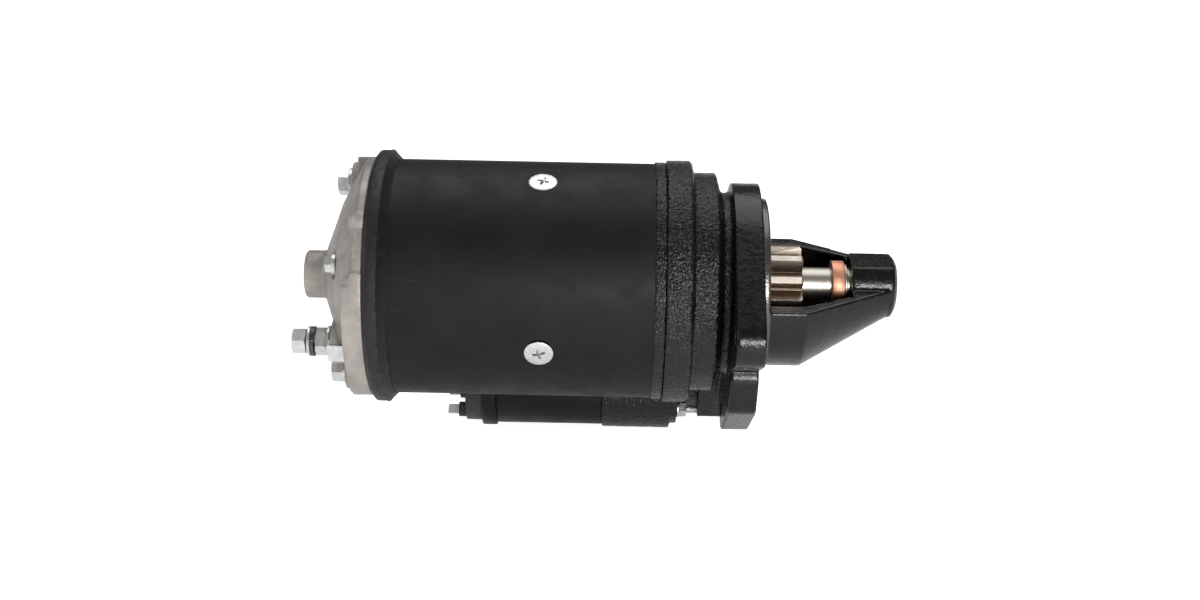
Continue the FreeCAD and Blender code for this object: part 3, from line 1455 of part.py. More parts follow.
def pinion():
    """A straight pinion with chamfered teeth and the inner race of the clutch behind it."""
    body = new_body("Pinion")
    bore = "drive_shaft_rad + run_gap + 0.03"
    revolve(body, "PinionHub", [
        ("race_left", "spline_rad + 1"), ("race_left", "race_rad"), ("pinion_left", "race_rad"),
        ("pinion_left", "pinion_root_rad"), ("pinion_right", "pinion_root_rad"),
        ("pinion_right", bore), ("spline_right + 17", bore), ("spline_right + 17", "spline_rad + 1"),
    ])
    tooth_sketch = new_sketch(body, "ToothSketch", "YZ_Plane", "pinion_left", "pinion_angle")
    add_outline(tooth_sketch, [
        ("pinion_root_rad - 1.5", "-pinion_root_half"), ("pinion_tip_rad", "-pinion_tip_half"),
        ("pinion_tip_rad", "pinion_tip_half"), ("pinion_root_rad - 1.5", "pinion_root_half"),
    ])
    tooth = pad(body, "Tooth", tooth_sketch, "pinion_right - pinion_left")
    polar(body, "Teeth", tooth, "pinion_count")
    rim = "pinion_tip_rad + 1"
    revolve(body, "FrontChamfer", [("pinion_right - 1.6", rim), ("pinion_right + 1", rim),
                                   ("pinion_right + 1", "pinion_tip_rad - 2.4")], groove=True)
    return body


def engaging_lever():
    """A fork with pads in the collar's groove, a pivot boss and a slotted finger for the plunger link.

    It is drawn with Y away from the shaft and turned to the solenoid's side as a whole.
    """
    body = new_body("LeverForging")
    groove_x = "(groove_left + groove_right) / 2"
    bridge_x = f"pivot_x + ({groove_x} - pivot_x) * (pivot_circle - fork_bridge_u) / pivot_circle"
    bridge = (bridge_x, "fork_bridge_u", "fork_bridge_rad")
    fork_end = (groove_x, "0", "fork_end_rad")
    waist = ("lever_waist_x", "lever_waist_circle", "lever_waist_rad")
    layers = [
        ("ForkNear", "-fork_outer", "fork_outer - fork_inner", [fork_end, bridge]),
        ("Bridge", "-fork_outer", "2 * fork_outer",
         [(bridge_x, "fork_bridge_u - 0.4", "fork_bridge_rad"), bridge]),
        ("ForkFar", "fork_inner", "fork_outer - fork_inner", [fork_end, bridge]),
        ("Neck", "-lever_half", "2 * lever_half", [bridge, ("pivot_x", "pivot_circle", "lever_boss_rad")]),
        ("Finger", "-lever_finger_half", "2 * lever_finger_half",
         [("pivot_x", "pivot_circle", "lever_root_rad"), waist]),
        ("FingerEnd", "-lever_finger_half", "2 * lever_finger_half",
         [waist, ("link_pin_x", "solenoid_circle + 2.6", "lever_tip_rad")]),
    ]
    for name, bottom, thickness, circles in layers:
        sketch = new_sketch(body, name + "Sketch", "XY_Plane", bottom)
        add_hull(sketch, circles)
        pad(body, name, sketch, thickness)
    slot = new_sketch(body, "FingerSlotSketch", "XY_Plane", "lever_finger_half + 1")
    slot_rad = "link_pin_rad + 0.15"
    add_hull(slot, [("link_pin_x", "solenoid_circle - 1.8", slot_rad),
                    ("link_pin_x", "solenoid_circle + 12", slot_rad)])
    pocket(body, "FingerSlot", slot, "2 * lever_finger_half + 2")
    hole = new_sketch(body, "PivotHoleSketch", "XY_Plane", "lever_half + 1")
    add_circle(hole, "pivot_x", "pivot_circle", "pivot_rad + run_gap")
    pocket(body, "PivotBore", hole, "2 * lever_half + 2")
    pads = [body]
    for name, start in (("PadNear", "-fork_inner - 0.5"), ("PadFar", "groove_rad + 0.4")):
        pads.append(cross_rod(name, groove_x, "0", start, "fork_inner - groove_rad + 0.1",
                              "fork_pad_rad", "0"))
    lever = fuse("EngagingLever", *pads)
    lever.Placement = Placement(Vector(0, 0, 0), Rotation(Vector(1, 0, 0), 1))
    bind_path(lever, "Placement.Rotation.Angle", "solenoid_angle")
    return lever


# ---------------------------------------------------------------- all sub-parts

SUB_PARTS = {
    "drive_end_bracket": drive_end_bracket,
    "nose_bush": lambda: bush("NoseBush", "nose_bush_x", "nose_bush_length", "nose_bush_wall",
                              "journal_rad"),
    "intermediate_bracket": intermediate_bracket,
    "intermediate_bush": lambda: bush("CentreBush", "centre_bush_x", "centre_bush_length",
                                      "centre_bush_wall", "centre_journal_rad"),
    "yoke": yoke,
    "yoke_seal_ring": yoke_seal_ring,
    "pole_shoes": pole_shoes,
    "pole_screws": pole_screws,
    "field_coils": field_coils,
    "field_links": field_links,
    "field_grommet": field_grommet,
    "motor_link": motor_link,
    "commutator_end_bracket": commutator_end_bracket,
    "commutator_end_bush": lambda: bush("RearBush", "rear_bush_x", "rear_bush_length", "bush_wall",
                                        "journal_rad"),
    "through_bolts": through_bolts,
    "brush_plate": brush_plate,
    "brush_plate_screws": brush_plate_screws,
    "cover_washers": cover_washers,
    "brush_holders": brush_holders,
    "brush_springs": lambda: group("BrushSprings", [brush_spring(number) for number in range(4)]),
    "brush_1": lambda: brush(0),
    "brush_2": lambda: brush(1),
    "brush_3": lambda: brush(2),
    "brush_4": lambda: brush(3),
    "terminal_stud": terminal_stud,
    "terminal_nuts": terminal_nuts,
    "terminal_insulator": terminal_insulator,
    "terminal_tab": terminal_tab,
    "lever_pivot_pin": lever_pivot_pin,
    "engaging_lever": engaging_lever,
    "solenoid_case": solenoid_case,
    "solenoid_front_housing": solenoid_front_housing,
    "solenoid_clamp_ring": solenoid_clamp_ring,
    "solenoid_cap": solenoid_cap,
    "spade_terminals": spade_terminals,
    "solenoid_power_studs": solenoid_power_studs,
    "solenoid_fixings": solenoid_fixings,
    "solenoid_bobbin": solenoid_bobbin,
    "solenoid_winding": solenoid_winding,
    "solenoid_core": solenoid_core,
    "plunger": plunger,
    "plunger_link": plunger_link,
    "plunger_spring": plunger_spring,
    "contact_plate": contact_plate,
    "contact_rod": contact_rod,
    "plunger_boot": plunger_boot,
    "armature_shaft": armature_shaft,
    "armature_core": armature_core,
    "armature_winding": armature_winding,
    "commutator": commutator,
    "commutator_hub": commutator_hub,
    "thrust_collar": lambda: tube("ThrustCollar", "collar_x", "collar_length", "collar_rad",
                                  "drive_shaft_rad"),
    "retaining_ring": lambda: tube("RetainingRing", "collar_x + collar_length", "ring_length", "ring_rad",
                                   "drive_shaft_rad"),
    "drive_sleeve": drive_sleeve,
    "operating_collar": operating_collar,
    "collar_spring": collar_spring,
    "clutch_shell": clutch_shell,
    "clutch_cover": clutch_cover,
    "clutch_rollers": clutch_rollers,
    "pinion": pinion,
}


def build_all():
    """Makes every sub-part and gives it the label that names its file."""
    made = {}
    for label, make in SUB_PARTS.items():
        thing = make()
        thing.Label = label
        made[label] = thing
    return made


def check_all(made):
    """Stops if any object failed or any sub-part is empty or not valid."""
    doc.recompute()
    failed = [item.Name for item in doc.Objects if "Invalid" in item.State or "Error" in item.State]
    if failed:
        raise SystemExit(f"failed objects: {failed}")
    for label, thing in made.items():
        shape = thing.Shape
        if shape.isNull() or not shape.isValid() or not shape.Solids:
            raise SystemExit(f"{label} has no valid solid")


def write_all(made):
    os.makedirs("parts", exist_ok=True)
    for label, thing in made.items():
        thing.Shape.exportStep(f"parts/{label}.step")


sub_parts = build_all()
check_all(sub_parts)
write_all(sub_parts)
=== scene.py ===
import json
import math

import bmesh
import bpy
import numpy as np
from mathutils import Matrix, Vector, noise


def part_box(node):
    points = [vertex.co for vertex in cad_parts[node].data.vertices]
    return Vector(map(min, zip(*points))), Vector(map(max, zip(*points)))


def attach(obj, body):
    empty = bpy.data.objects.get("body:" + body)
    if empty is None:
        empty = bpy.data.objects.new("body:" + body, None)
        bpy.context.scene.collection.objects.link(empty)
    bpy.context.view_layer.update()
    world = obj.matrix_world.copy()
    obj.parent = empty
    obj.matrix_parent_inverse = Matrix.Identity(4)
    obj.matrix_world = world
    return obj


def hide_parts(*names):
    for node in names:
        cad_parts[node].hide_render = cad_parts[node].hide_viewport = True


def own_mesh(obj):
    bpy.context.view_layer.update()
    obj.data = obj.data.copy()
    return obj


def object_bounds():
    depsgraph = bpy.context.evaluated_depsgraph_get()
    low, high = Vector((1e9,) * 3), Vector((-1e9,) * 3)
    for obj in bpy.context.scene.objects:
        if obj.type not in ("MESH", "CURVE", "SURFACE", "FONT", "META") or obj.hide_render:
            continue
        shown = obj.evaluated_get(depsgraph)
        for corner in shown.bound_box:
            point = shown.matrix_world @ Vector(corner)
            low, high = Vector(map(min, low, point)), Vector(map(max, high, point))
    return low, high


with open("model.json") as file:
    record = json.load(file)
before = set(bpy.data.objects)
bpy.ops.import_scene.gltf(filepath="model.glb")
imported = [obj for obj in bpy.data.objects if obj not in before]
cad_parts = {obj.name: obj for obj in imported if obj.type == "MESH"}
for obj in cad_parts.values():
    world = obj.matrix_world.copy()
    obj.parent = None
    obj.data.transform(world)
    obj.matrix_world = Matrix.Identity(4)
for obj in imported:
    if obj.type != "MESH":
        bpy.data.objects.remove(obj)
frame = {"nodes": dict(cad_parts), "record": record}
CAD_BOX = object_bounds()

MM = 0.001
RECORD = frame["record"]
SLOT_OF = {part["node"]: part["material_slot"] for part in RECORD["subparts"]}
BODY_OF = {node: body for body, nodes in RECORD["behaviour"]["bodies"].items() for node in nodes}

# The flange's machined register, and where the flange's calmer skin begins.
SPIGOT_RADIUS = 46 * MM
SPIGOT_LENGTH = 4.5 * MM
FLANGE_BACK = -16 * MM
YOKE_RADIUS = 63.5 * MM

# Threads: crest radius, clearance bore, size across flats.
M8_FLATS = 13 * MM
M8_CREST = 4 * MM
M8_BORE = 4.05 * MM
M8_SHANK = 3.9 * MM
M5_FLATS = 8 * MM
M5_CREST = 2.5 * MM
M5_BORE = 2.55 * MM
M5_THREAD = {"pitch": 0.8 * MM, "depth": 0.4 * MM}


# ------------------------------------------------------------------ materials

class Shader:
    """A node material in the making. Object coordinates are metres in the part's own frame."""

    def __init__(self, name, colour, rough, metal=0.0):
        self.material = bpy.data.materials.new(name)
        self.material.use_nodes = True
        self.tree = self.material.node_tree
        self.tree.nodes.clear()
        self.surface = self.node("ShaderNodeBsdfPrincipled")
        output = self.node("ShaderNodeOutputMaterial")
        self.join(self.surface.outputs[0], output.inputs["Surface"])
        self.place = self.node("ShaderNodeTexCoord").outputs["Object"]
        self.set("Base Color", (*colour, 1))
        self.set("Roughness", rough)
        self.set("Metallic", metal)
        self.relief = None

    def node(self, kind, **settings):
        made = self.tree.nodes.new(kind)
        for key, setting in settings.items():
            setattr(made, key, setting)
        return made

    def join(self, source, socket):
        if hasattr(source, "links"):
            self.tree.links.new(source, socket)
        else:
            socket.default_value = source

    def set(self, name, source):
        self.join(source, self.surface.inputs[name])

    def stretched(self, stretch):
        """The object coordinates scaled per axis."""
        mapping = self.node("ShaderNodeMapping")
        self.join(self.place, mapping.inputs["Vector"])
        mapping.inputs["Scale"].default_value = stretch
        return mapping.outputs[0]

    def noise(self, scale, detail=5.0, rough=0.55, stretch=(1, 1, 1), warp=0.0):
        made = self.node("ShaderNodeTexNoise")
        self.join(self.stretched(stretch), made.inputs["Vector"])
        made.inputs["Scale"].default_value = scale
        made.inputs["Detail"].default_value = detail
        made.inputs["Roughness"].default_value = rough
        made.inputs["Distortion"].default_value = warp
        return made.outputs["Fac"]

    def cells(self, scale):
        made = self.node("ShaderNodeTexVoronoi", feature="F1")
        self.join(self.place, made.inputs["Vector"])
        made.inputs["Scale"].default_value = scale
        return made.outputs["Distance"]

    def math(self, operation, first, second=0.0):
        made = self.node("ShaderNodeMath", operation=operation)
        self.join(first, made.inputs[0])
        self.join(second, made.inputs[1])
        return made.outputs[0]

    def span(self, source, low, high, start=0.0, stop=1.0):
        """Maps low..high of a value to start..stop, smoothly and clamped."""
        made = self.node("ShaderNodeMapRange", interpolation_type="SMOOTHSTEP")
        self.join(source, made.inputs["Value"])
        limits = {"From Min": low, "From Max": high, "To Min": start, "To Max": stop}
        for name, number in limits.items():
            made.inputs[name].default_value = number
        return made.outputs["Result"]

    def blend(self, share, first, second):
        """Mixes two colours, each an RGB tuple or a socket."""
        made = self.node("ShaderNodeMix", data_type="RGBA")
        self.join(share, made.inputs[0])
        for source, socket in ((first, made.inputs[6]), (second, made.inputs[7])):
            self.join((*source, 1) if isinstance(source, tuple) else source, socket)
        return made.outputs[2]

    def axes(self):
        made = self.node("ShaderNodeSeparateXYZ")
        self.join(self.place, made.inputs[0])
        return made.outputs[0], made.outputs[1], made.outputs[2]

    def radius(self):
        """Distance from the shaft axis."""
        _, y, z = self.axes()
        squares = self.math("ADD", self.math("MULTIPLY", y, y), self.math("MULTIPLY", z, z))
        return self.math("SQRT", squares)

    def edges(self, width):
        """About 1 on sharp edges and 0 on flats."""
        rounded = self.node("ShaderNodeBevel", samples=4)
        rounded.inputs["Radius"].default_value = width
        flat = self.node("ShaderNodeNewGeometry")
        dot = self.node("ShaderNodeVectorMath", operation="DOT_PRODUCT")
        self.join(rounded.outputs[0], dot.inputs[0])
        self.join(flat.outputs["Normal"], dot.inputs[1])
        return self.span(dot.outputs["Value"], 0.995, 0.9)

    def bump(self, height, depth, strength=1.0):
        """Adds relief of the given depth in metres."""
        made = self.node("ShaderNodeBump")
        made.inputs["Strength"].default_value = strength
        made.inputs["Distance"].default_value = depth
        self.join(height, made.inputs["Height"])
        if self.relief:
            self.join(self.relief, made.inputs["Normal"])
        self.relief = made.outputs[0]
        self.set("Normal", self.relief)


def black_casting():
    """Glossy black paint over a coarse sand casting, with the machined register left bare."""
    made = Shader("casting_black", (0.02, 0.018, 0.017), 0.4)
    coarse = made.noise(430, 3, 0.6)
    grains = made.cells(900)
    fine = made.noise(2400, 3, 0.6)
    dust = made.span(made.noise(95, 5, 0.65), 0.45, 0.75)
    paint = made.blend(dust, (0.004, 0.0036, 0.0034), (0.0095, 0.0084, 0.0077))
    worn = made.math("MULTIPLY", made.edges(0.0006), made.span(made.noise(260, 4), 0.5, 0.7))
    paint = made.blend(made.math("MULTIPLY", worn, 0.25), paint, (0.06, 0.053, 0.046))
    along, _, _ = made.axes()
    rough = made.span(along, FLANGE_BACK - 0.0025, FLANGE_BACK + 0.0015, 1.0, 0.14)
    made.bump(made.math("MULTIPLY", coarse, rough), 0.0010, 0.8)
    made.bump(made.math("MULTIPLY", grains, rough), 0.0005, 0.7)
    made.bump(fine, 0.00008, 0.5)
    reach = made.radius()
    right, outer, fade = SPIGOT_LENGTH + 0.0006, SPIGOT_RADIUS + 0.0004, 0.0004
    in_front = made.math("MULTIPLY", made.span(along, 0.0, fade), made.span(along, right, right - fade))
    inner = SPIGOT_RADIUS - 0.002
    ring = made.math("MULTIPLY", made.span(reach, inner, inner + 0.0006),
                     made.span(reach, outer + 0.0006, outer))
    bare = made.math("MULTIPLY", in_front, ring)
    turned = made.noise(40, 3, 0.6, stretch=(60, 1, 1))
    metal = made.blend(turned, (0.085, 0.075, 0.066), (0.17, 0.155, 0.14))
    made.set("Base Color", made.blend(bare, paint, metal))
    made.set("Metallic", made.math("MULTIPLY", bare, 0.75))
    made.set("Roughness", made.span(made.noise(380, 4), 0.3, 0.7, 0.16, 0.3))
    made.set("Specular IOR Level", 0.4)
    return made.material


def smooth_black(name, base, rough):
    """Sprayed satin black with faint orange peel, dust and handling marks."""
    made = Shader(name, (base, base, base), rough)
    cloud = made.span(made.noise(38, 6, 0.6), 0.35, 0.7)
    paint = made.blend(cloud, (base, base * 0.97, base * 0.94), (base * 1.45, base * 1.4, base * 1.34))
    specks = made.span(made.noise(1500, 2, 0.5), 0.70, 0.76)
    smudge = made.math("MULTIPLY", specks, made.span(made.noise(60, 3), 0.5, 0.65))
    paint = made.blend(made.math("MULTIPLY", smudge, 0.35), paint, (0.11, 0.10, 0.09))
    scratch = made.span(made.noise(30, 4, 0.7, stretch=(1.2, 26, 26)), 0.63, 0.68)
    scratch = made.math("MULTIPLY", scratch, made.span(made.noise(22, 2), 0.52, 0.66))
    paint = made.blend(made.math("MULTIPLY", scratch, 0.2), paint, (0.12, 0.11, 0.10))
    worn = made.math("MULTIPLY", made.edges(0.0005), made.span(made.noise(300, 3), 0.45, 0.6))
    made.set("Base Color", made.blend(made.math("MULTIPLY", worn, 0.35), paint, (0.12, 0.11, 0.10)))
    made.set("Roughness", made.span(made.noise(70, 5, 0.6), 0.3, 0.7, rough - 0.05, rough + 0.09))
    made.set("Specular IOR Level", 0.22)
    made.bump(made.noise(1700, 2, 0.5), 0.00003, 0.5)
    made.bump(made.noise(120, 3, 0.5), 0.0002, 0.12)
    return made.material


def bare_alloy():
    """Die-cast alloy: pale warm grey, faint flow marks and dark pores."""
    made = Shader("alloy", (0.4, 0.37, 0.34), 0.5, 0.35)
    flow = made.span(made.noise(45, 6, 0.62, warp=0.6), 0.3, 0.72)
    skin = made.blend(flow, (0.31, 0.284, 0.26), (0.45, 0.415, 0.382))
    stain = made.span(made.noise(150, 5, 0.7), 0.56, 0.74)
    skin = made.blend(made.math("MULTIPLY", stain, 0.4), skin, (0.19, 0.155, 0.125))
    pores = made.span(made.cells(900), 0.1, 0.22, 1.0, 0.0)
    pores = made.math("MULTIPLY", pores, made.span(made.noise(120, 3), 0.5, 0.66))
    skin = made.blend(made.math("MULTIPLY", pores, 0.5), skin, (0.1, 0.09, 0.08))
    shine = made.math("MULTIPLY", made.edges(0.0007), 0.5)
    made.set("Base Color", made.blend(shine, skin, (0.6, 0.55, 0.5)))
    made.set("Roughness", made.span(made.noise(210, 4), 0.3, 0.7, 0.42, 0.62))
    made.bump(made.noise(900, 4, 0.6), 0.00016, 0.5)
    made.bump(made.noise(170, 3, 0.5), 0.0002, 0.2)
    return made.material


def plated(name, tint, rough):
    """Zinc plate with faint blotches and rolled surface lines."""
    made = Shader(name, tint, rough, 1.0)
    cloud = made.noise(420, 4, 0.55)
    dull = tuple(part * 0.84 for part in tint)
    skin = made.blend(made.span(cloud, 0.35, 0.7), dull, tint)
    grime = made.span(made.noise(1100, 3, 0.6), 0.62, 0.75)
    skin = made.blend(made.math("MULTIPLY", grime, 0.3), skin, (0.3, 0.28, 0.25))
    made.set("Base Color", skin)
    made.set("Roughness", made.span(made.noise(900, 4), 0.3, 0.7, rough - 0.06, rough + 0.1))
    made.bump(made.noise(1800, 3, 0.5), 0.00002, 0.4)
    return made.material


def turned_metal(name, tint, rough):
    """Bright metal turned in a lathe: fine rings along the shaft axis."""
    made = Shader(name, tint, rough, 1.0)
    rings = made.noise(60, 4, 0.7, stretch=(55, 0.6, 0.6))
    dull = tuple(part * 0.86 for part in tint)
    skin = made.blend(made.span(rings, 0.3, 0.7), dull, tint)
    oil = made.span(made.noise(170, 4, 0.6), 0.55, 0.75)
    skin = made.blend(made.math("MULTIPLY", oil, 0.3), skin, tuple(part * 0.5 for part in tint))
    made.set("Base Color", skin)
    made.set("Roughness", made.span(rings, 0.25, 0.75, rough - 0.04, rough + 0.08))
    made.bump(rings, 0.00002, 0.4)
    return made.material


def pinion_steel():
    """Hardened steel: bright lands, tooth spaces painted darker and browner towards the roots as shade,
    and patches of oil.
    """
    made = Shader("pinion_steel", (0.5, 0.45, 0.4), 0.3, 1.0)
    reach = made.radius()
    root_radius, tip_radius = 0.0168, 0.0203
    # painted shade: the colour darkens from the tooth tips to the roots, where the grooves lie in
    # shadow
    land = made.span(reach, root_radius, tip_radius)
    grain = made.noise(170, 5, 0.6, stretch=(1, 7, 7))
    root_shade = made.blend(grain, (0.17, 0.125, 0.09), (0.28, 0.215, 0.165))
    bright = made.blend(grain, (0.42, 0.37, 0.315), (0.56, 0.505, 0.44))
    skin = made.blend(land, root_shade, bright)
    oil = made.span(made.noise(420, 4, 0.6), 0.6, 0.74)
    made.set("Base Color", made.blend(made.math("MULTIPLY", oil, 0.5), skin, (0.13, 0.1, 0.075)))
    made.set("Roughness", made.span(made.noise(600, 4), 0.3, 0.7, 0.3, 0.46))
    made.bump(made.noise(700, 4, 0.6, stretch=(1, 5, 5)), 0.00004, 0.5)
    return made.material


def rubber(name, base, shade_from=None):
    """Satin rubber with a dusty bloom and a faint mould texture; right of shade_from its colour is
    darkened as painted shade.
    """
    made = Shader(name, (base, base, base), 0.75)
    bloom = made.span(made.noise(110, 6, 0.65), 0.42, 0.74)
    skin = made.blend(bloom, (base, base * 0.88, base * 0.8), (base * 1.7, base * 1.45, base * 1.3))
    if shade_from is not None:
        along, _, _ = made.axes()
        # painted shade: right of shade_from the skin is darkened to stand in for the shadow on the
        # ring's slope
        shaded = made.span(along, shade_from, shade_from + 0.0006)
        skin = made.blend(shaded, skin, (0.0035, 0.0033, 0.0032))
    rub = made.math("MULTIPLY", made.edges(0.0005), made.span(made.noise(330, 4), 0.45, 0.65))
    made.set("Base Color", made.blend(made.math("MULTIPLY", rub, 0.5), skin, (0.13, 0.115, 0.1)))
    made.set("Roughness", made.span(made.noise(280, 4), 0.3, 0.7, 0.45, 0.65))
    made.bump(made.noise(1300, 4, 0.6), 0.00009, 0.6)
    return made.material


def moulded(name, base, rough=0.45):
    """Moulded plastic with a fine grain and pale scuffs on its edges."""
    made = Shader(name, base, rough)
    tone = made.span(made.noise(140, 4), 0.35, 0.7)
    light = tuple(min(1.0, part * 1.35 + 0.004) for part in base)
    skin = made.blend(tone, base, light)
    scuff = made.math("MULTIPLY", made.edges(0.0004), made.span(made.noise(350, 3), 0.48, 0.62))
    pale = tuple(part * 0.5 + 0.14 for part in base)
    made.set("Base Color", made.blend(made.math("MULTIPLY", scuff, 0.5), skin, pale))
    made.set("Roughness", made.span(made.noise(500, 4), 0.3, 0.7, rough - 0.08, rough + 0.12))
    made.bump(made.noise(2200, 3, 0.5), 0.00003, 0.6)
    return made.material


def wound_wire():
    """Varnished winding wire laid side by side round the coil."""
    made = Shader("enamel", (0.32, 0.1, 0.035), 0.3)
    wave = made.node("ShaderNodeTexWave", wave_type="BANDS", bands_direction="X")
    made.join(made.place, wave.inputs["Vector"])
    wave.inputs["Scale"].default_value = 190
    wave.inputs["Distortion"].default_value = 0.6
    tone = made.span(made.noise(90, 4), 0.3, 0.7)
    lacquer = made.blend(tone, (0.2, 0.05, 0.018), (0.42, 0.15, 0.05))
    made.set("Base Color", made.blend(wave.outputs["Fac"], (0.07, 0.02, 0.01), lacquer))
    made.set("Metallic", 0.4)
    made.set("Roughness", made.span(made.noise(300, 3), 0.3, 0.7, 0.22, 0.4))
    made.bump(wave.outputs["Fac"], 0.0004, 0.8)
    return made.material


def laminated():
    """Stacked steel sheets: fine bright and dark lines across the shaft."""
    made = Shader("lamination", (0.3, 0.29, 0.28), 0.4, 1.0)
    sheets = made.noise(30, 2, 0.6, stretch=(60, 0.2, 0.2))
    rust = made.span(made.noise(130, 5, 0.7), 0.52, 0.7)
    skin = made.blend(made.span(sheets, 0.35, 0.65), (0.14, 0.13, 0.125), (0.42, 0.41, 0.4))
    made.set("Base Color", made.blend(made.math("MULTIPLY", rust, 0.5), skin, (0.2, 0.12, 0.075)))
    made.set("Roughness", made.span(made.noise(400, 3), 0.3, 0.7, 0.3, 0.5))
    made.bump(sheets, 0.0001, 0.7)
    return made.material


# Where the painted shade on the seal ring's right-hand slope begins, along X in metres.
RING_SHADE_X = -0.1966

MATERIALS = {
    "casting_black": black_casting(),
    "yoke_black": smooth_black("yoke_black", 0.0066, 0.5),
    "solenoid_paint": smooth_black("solenoid_paint", 0.0045, 0.4),
    "alloy": bare_alloy(),
    "seal_rubber": rubber("seal_rubber", 0.0065),
    "seal_ring": rubber("seal_ring", 0.0058, shade_from=RING_SHADE_X),
    "zinc": plated("zinc", (0.8, 0.81, 0.79), 0.36),
    "dark_spring": turned_metal("dark_spring", (0.12, 0.125, 0.12), 0.4),
    "steel": turned_metal("steel", (0.56, 0.52, 0.47), 0.36),
    "pinion_steel": pinion_steel(),
    "copper": turned_metal("copper", (0.84, 0.43, 0.28), 0.5),
    "bronze": turned_metal("bronze", (0.5, 0.34, 0.16), 0.42),
    "lamination": laminated(),
    "enamel": wound_wire(),
    "moulding": moulded("moulding", (0.014, 0.0135, 0.013)),
    "carbon": moulded("carbon", (0.055, 0.048, 0.043), 0.55),
    "bobbin_plastic": moulded("bobbin_plastic", (0.6, 0.55, 0.44), 0.4),
}


def wear(piece, slot):
    """Gives a piece one material in place of those it has."""
    piece.data.materials.clear()
    piece.data.materials.append(MATERIALS[slot])
    return piece


# ------------------------------------------------------------------ CAD nodes

SMOOTH_ANGLE = math.radians(32)


def soften(node, width):
    """Rounds a CAD node's sharp edges with modifiers, without touching its mesh."""
    piece = frame["nodes"][node]
    weld = piece.modifiers.new("Weld", "WELD")
    weld.merge_threshold = 1e-6
    bevel = piece.modifiers.new("Bevel", "BEVEL")
    bevel.width = width
    bevel.segments = 2
    bevel.limit_method = "ANGLE"
    bevel.angle_limit = SMOOTH_ANGLE
    bevel.use_clamp_overlap = True
    bevel.miter_outer = "MITER_ARC"
    bevel.harden_normals = True


for name, piece in frame["nodes"].items():
    wear(piece, SLOT_OF[name])


# ------------------------------------------------------------------ mesh tools

def islands(node):
    """The separate solids of a CAD node as boxes (lowest corner, highest corner), left to right."""
    mesh = bmesh.new()
    mesh.from_mesh(frame["nodes"][node].data)
    bmesh.ops.remove_doubles(mesh, verts=mesh.verts, dist=1e-6)
    seen = set()
    boxes = []
    for seed in mesh.verts:
        if seed in seen:
            continue
        seen.add(seed)
        heap = [seed]
        low, high = seed.co.copy(), seed.co.copy()
        while heap:
            vertex = heap.pop()
            low = Vector(map(min, low, vertex.co))
            high = Vector(map(max, high, vertex.co))
            for edge in vertex.link_edges:
                other = edge.other_vert(vertex)
                if other not in seen:
                    seen.add(other)
                    heap.append(other)
        boxes.append((low, high))
    mesh.free()
    return sorted(boxes, key=lambda box: (round(box[0].x, 5), round(box[0].z, 5)))


def add_piece(name, mesh, node):
    """Turns a bmesh into a piece that stands for a CAD node and rides on its body."""
    data = bpy.data.meshes.new(name)
    bmesh.ops.remove_doubles(mesh, verts=mesh.verts, dist=1e-7)
    bmesh.ops.recalc_face_normals(mesh, faces=mesh.faces)
    mesh.to_mesh(data)
    mesh.free()
    data.shade_smooth()
    data.set_sharp_from_angle(angle=SMOOTH_ANGLE)
    piece = bpy.data.objects.new(name, data)
    bpy.context.scene.collection.objects.link(piece)
    wear(piece, SLOT_OF[node])
    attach(piece, BODY_OF[node])
    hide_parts(node)
    return piece


def spin(mesh, centre, section, steps=72, clock=0.0, loop=True):
    """Skins a section round an axis parallel to X.

    An entry of the section is (x, radius) or a function of the angle that gives them. A loop joins the
    section's last entry to its first; without it the ends close on the axis.
    """
    rows = []
    for entry in section:
        row = []
        for step in range(steps):
            angle = 2 * math.pi * step / steps
            x, reach = entry(angle) if callable(entry) else entry
            turn = angle + clock
            spot = Vector((x, centre.y + reach * math.cos(turn), centre.z + reach * math.sin(turn)))
            row.append(mesh.verts.new(spot))
        rows.append(row)
    count = len(rows) if loop else len(rows) - 1
    for index in range(count):
        near, far = rows[index], rows[(index + 1) % len(rows)]
        for step in range(steps):
            after = (step + 1) % steps
            mesh.faces.new((near[step], near[after], far[after], far[step]))
    if not loop:
        mesh.faces.new(rows[0])
        mesh.faces.new(list(reversed(rows[-1])))


def hex_reach(flats):
    """The radius of a hexagon at each angle, given its size across flats."""
    return lambda angle: flats / 2 / math.cos((angle + math.pi / 6) % (math.pi / 3) - math.pi / 6)


CHAMFER_SLOPE = math.tan(math.radians(30))


def hex_side(edge, inward, flats, face):
    """Where a hexagon's chamfered end meets its sides; inward is +1 or -1 along X."""
    reach = hex_reach(flats)
    return lambda angle: (edge + inward * (reach(angle) - face) * CHAMFER_SLOPE, reach(angle))


def add_nut(mesh, box, bore, clock=0.0, flats=M8_FLATS):
    """A hexagonal nut with a turned chamfer on both ends and a countersunk bore."""
    low, high = box
    centre = (low + high) / 2
    face = flats / 2 * 0.96
    lead = 0.6 * MM
    spin(mesh, centre, [
        (low.x + lead, bore), (low.x, bore + lead), (low.x, face),
        hex_side(low.x, 1, flats, face), hex_side(high.x, -1, flats, face),
        (high.x, face), (high.x, bore + lead), (high.x - lead, bore),
    ], clock=clock)


def add_washer(mesh, box, bore, dish=0.0):
    """A flat ring with rounded edges; dish makes it slightly conical."""
    low, high = box
    centre = (low + high) / 2
    reach = (high.z - low.z) / 2
    curve = min(0.25 * MM, (high.x - low.x) / 3)
    spin(mesh, centre, [
        (low.x + curve + dish, bore), (low.x + dish, bore + curve),
        (low.x, reach - curve), (low.x + curve, reach),
        (high.x - curve, reach), (high.x, reach - curve),
        (high.x + dish, bore + curve), (high.x - curve + dish, bore),
    ])


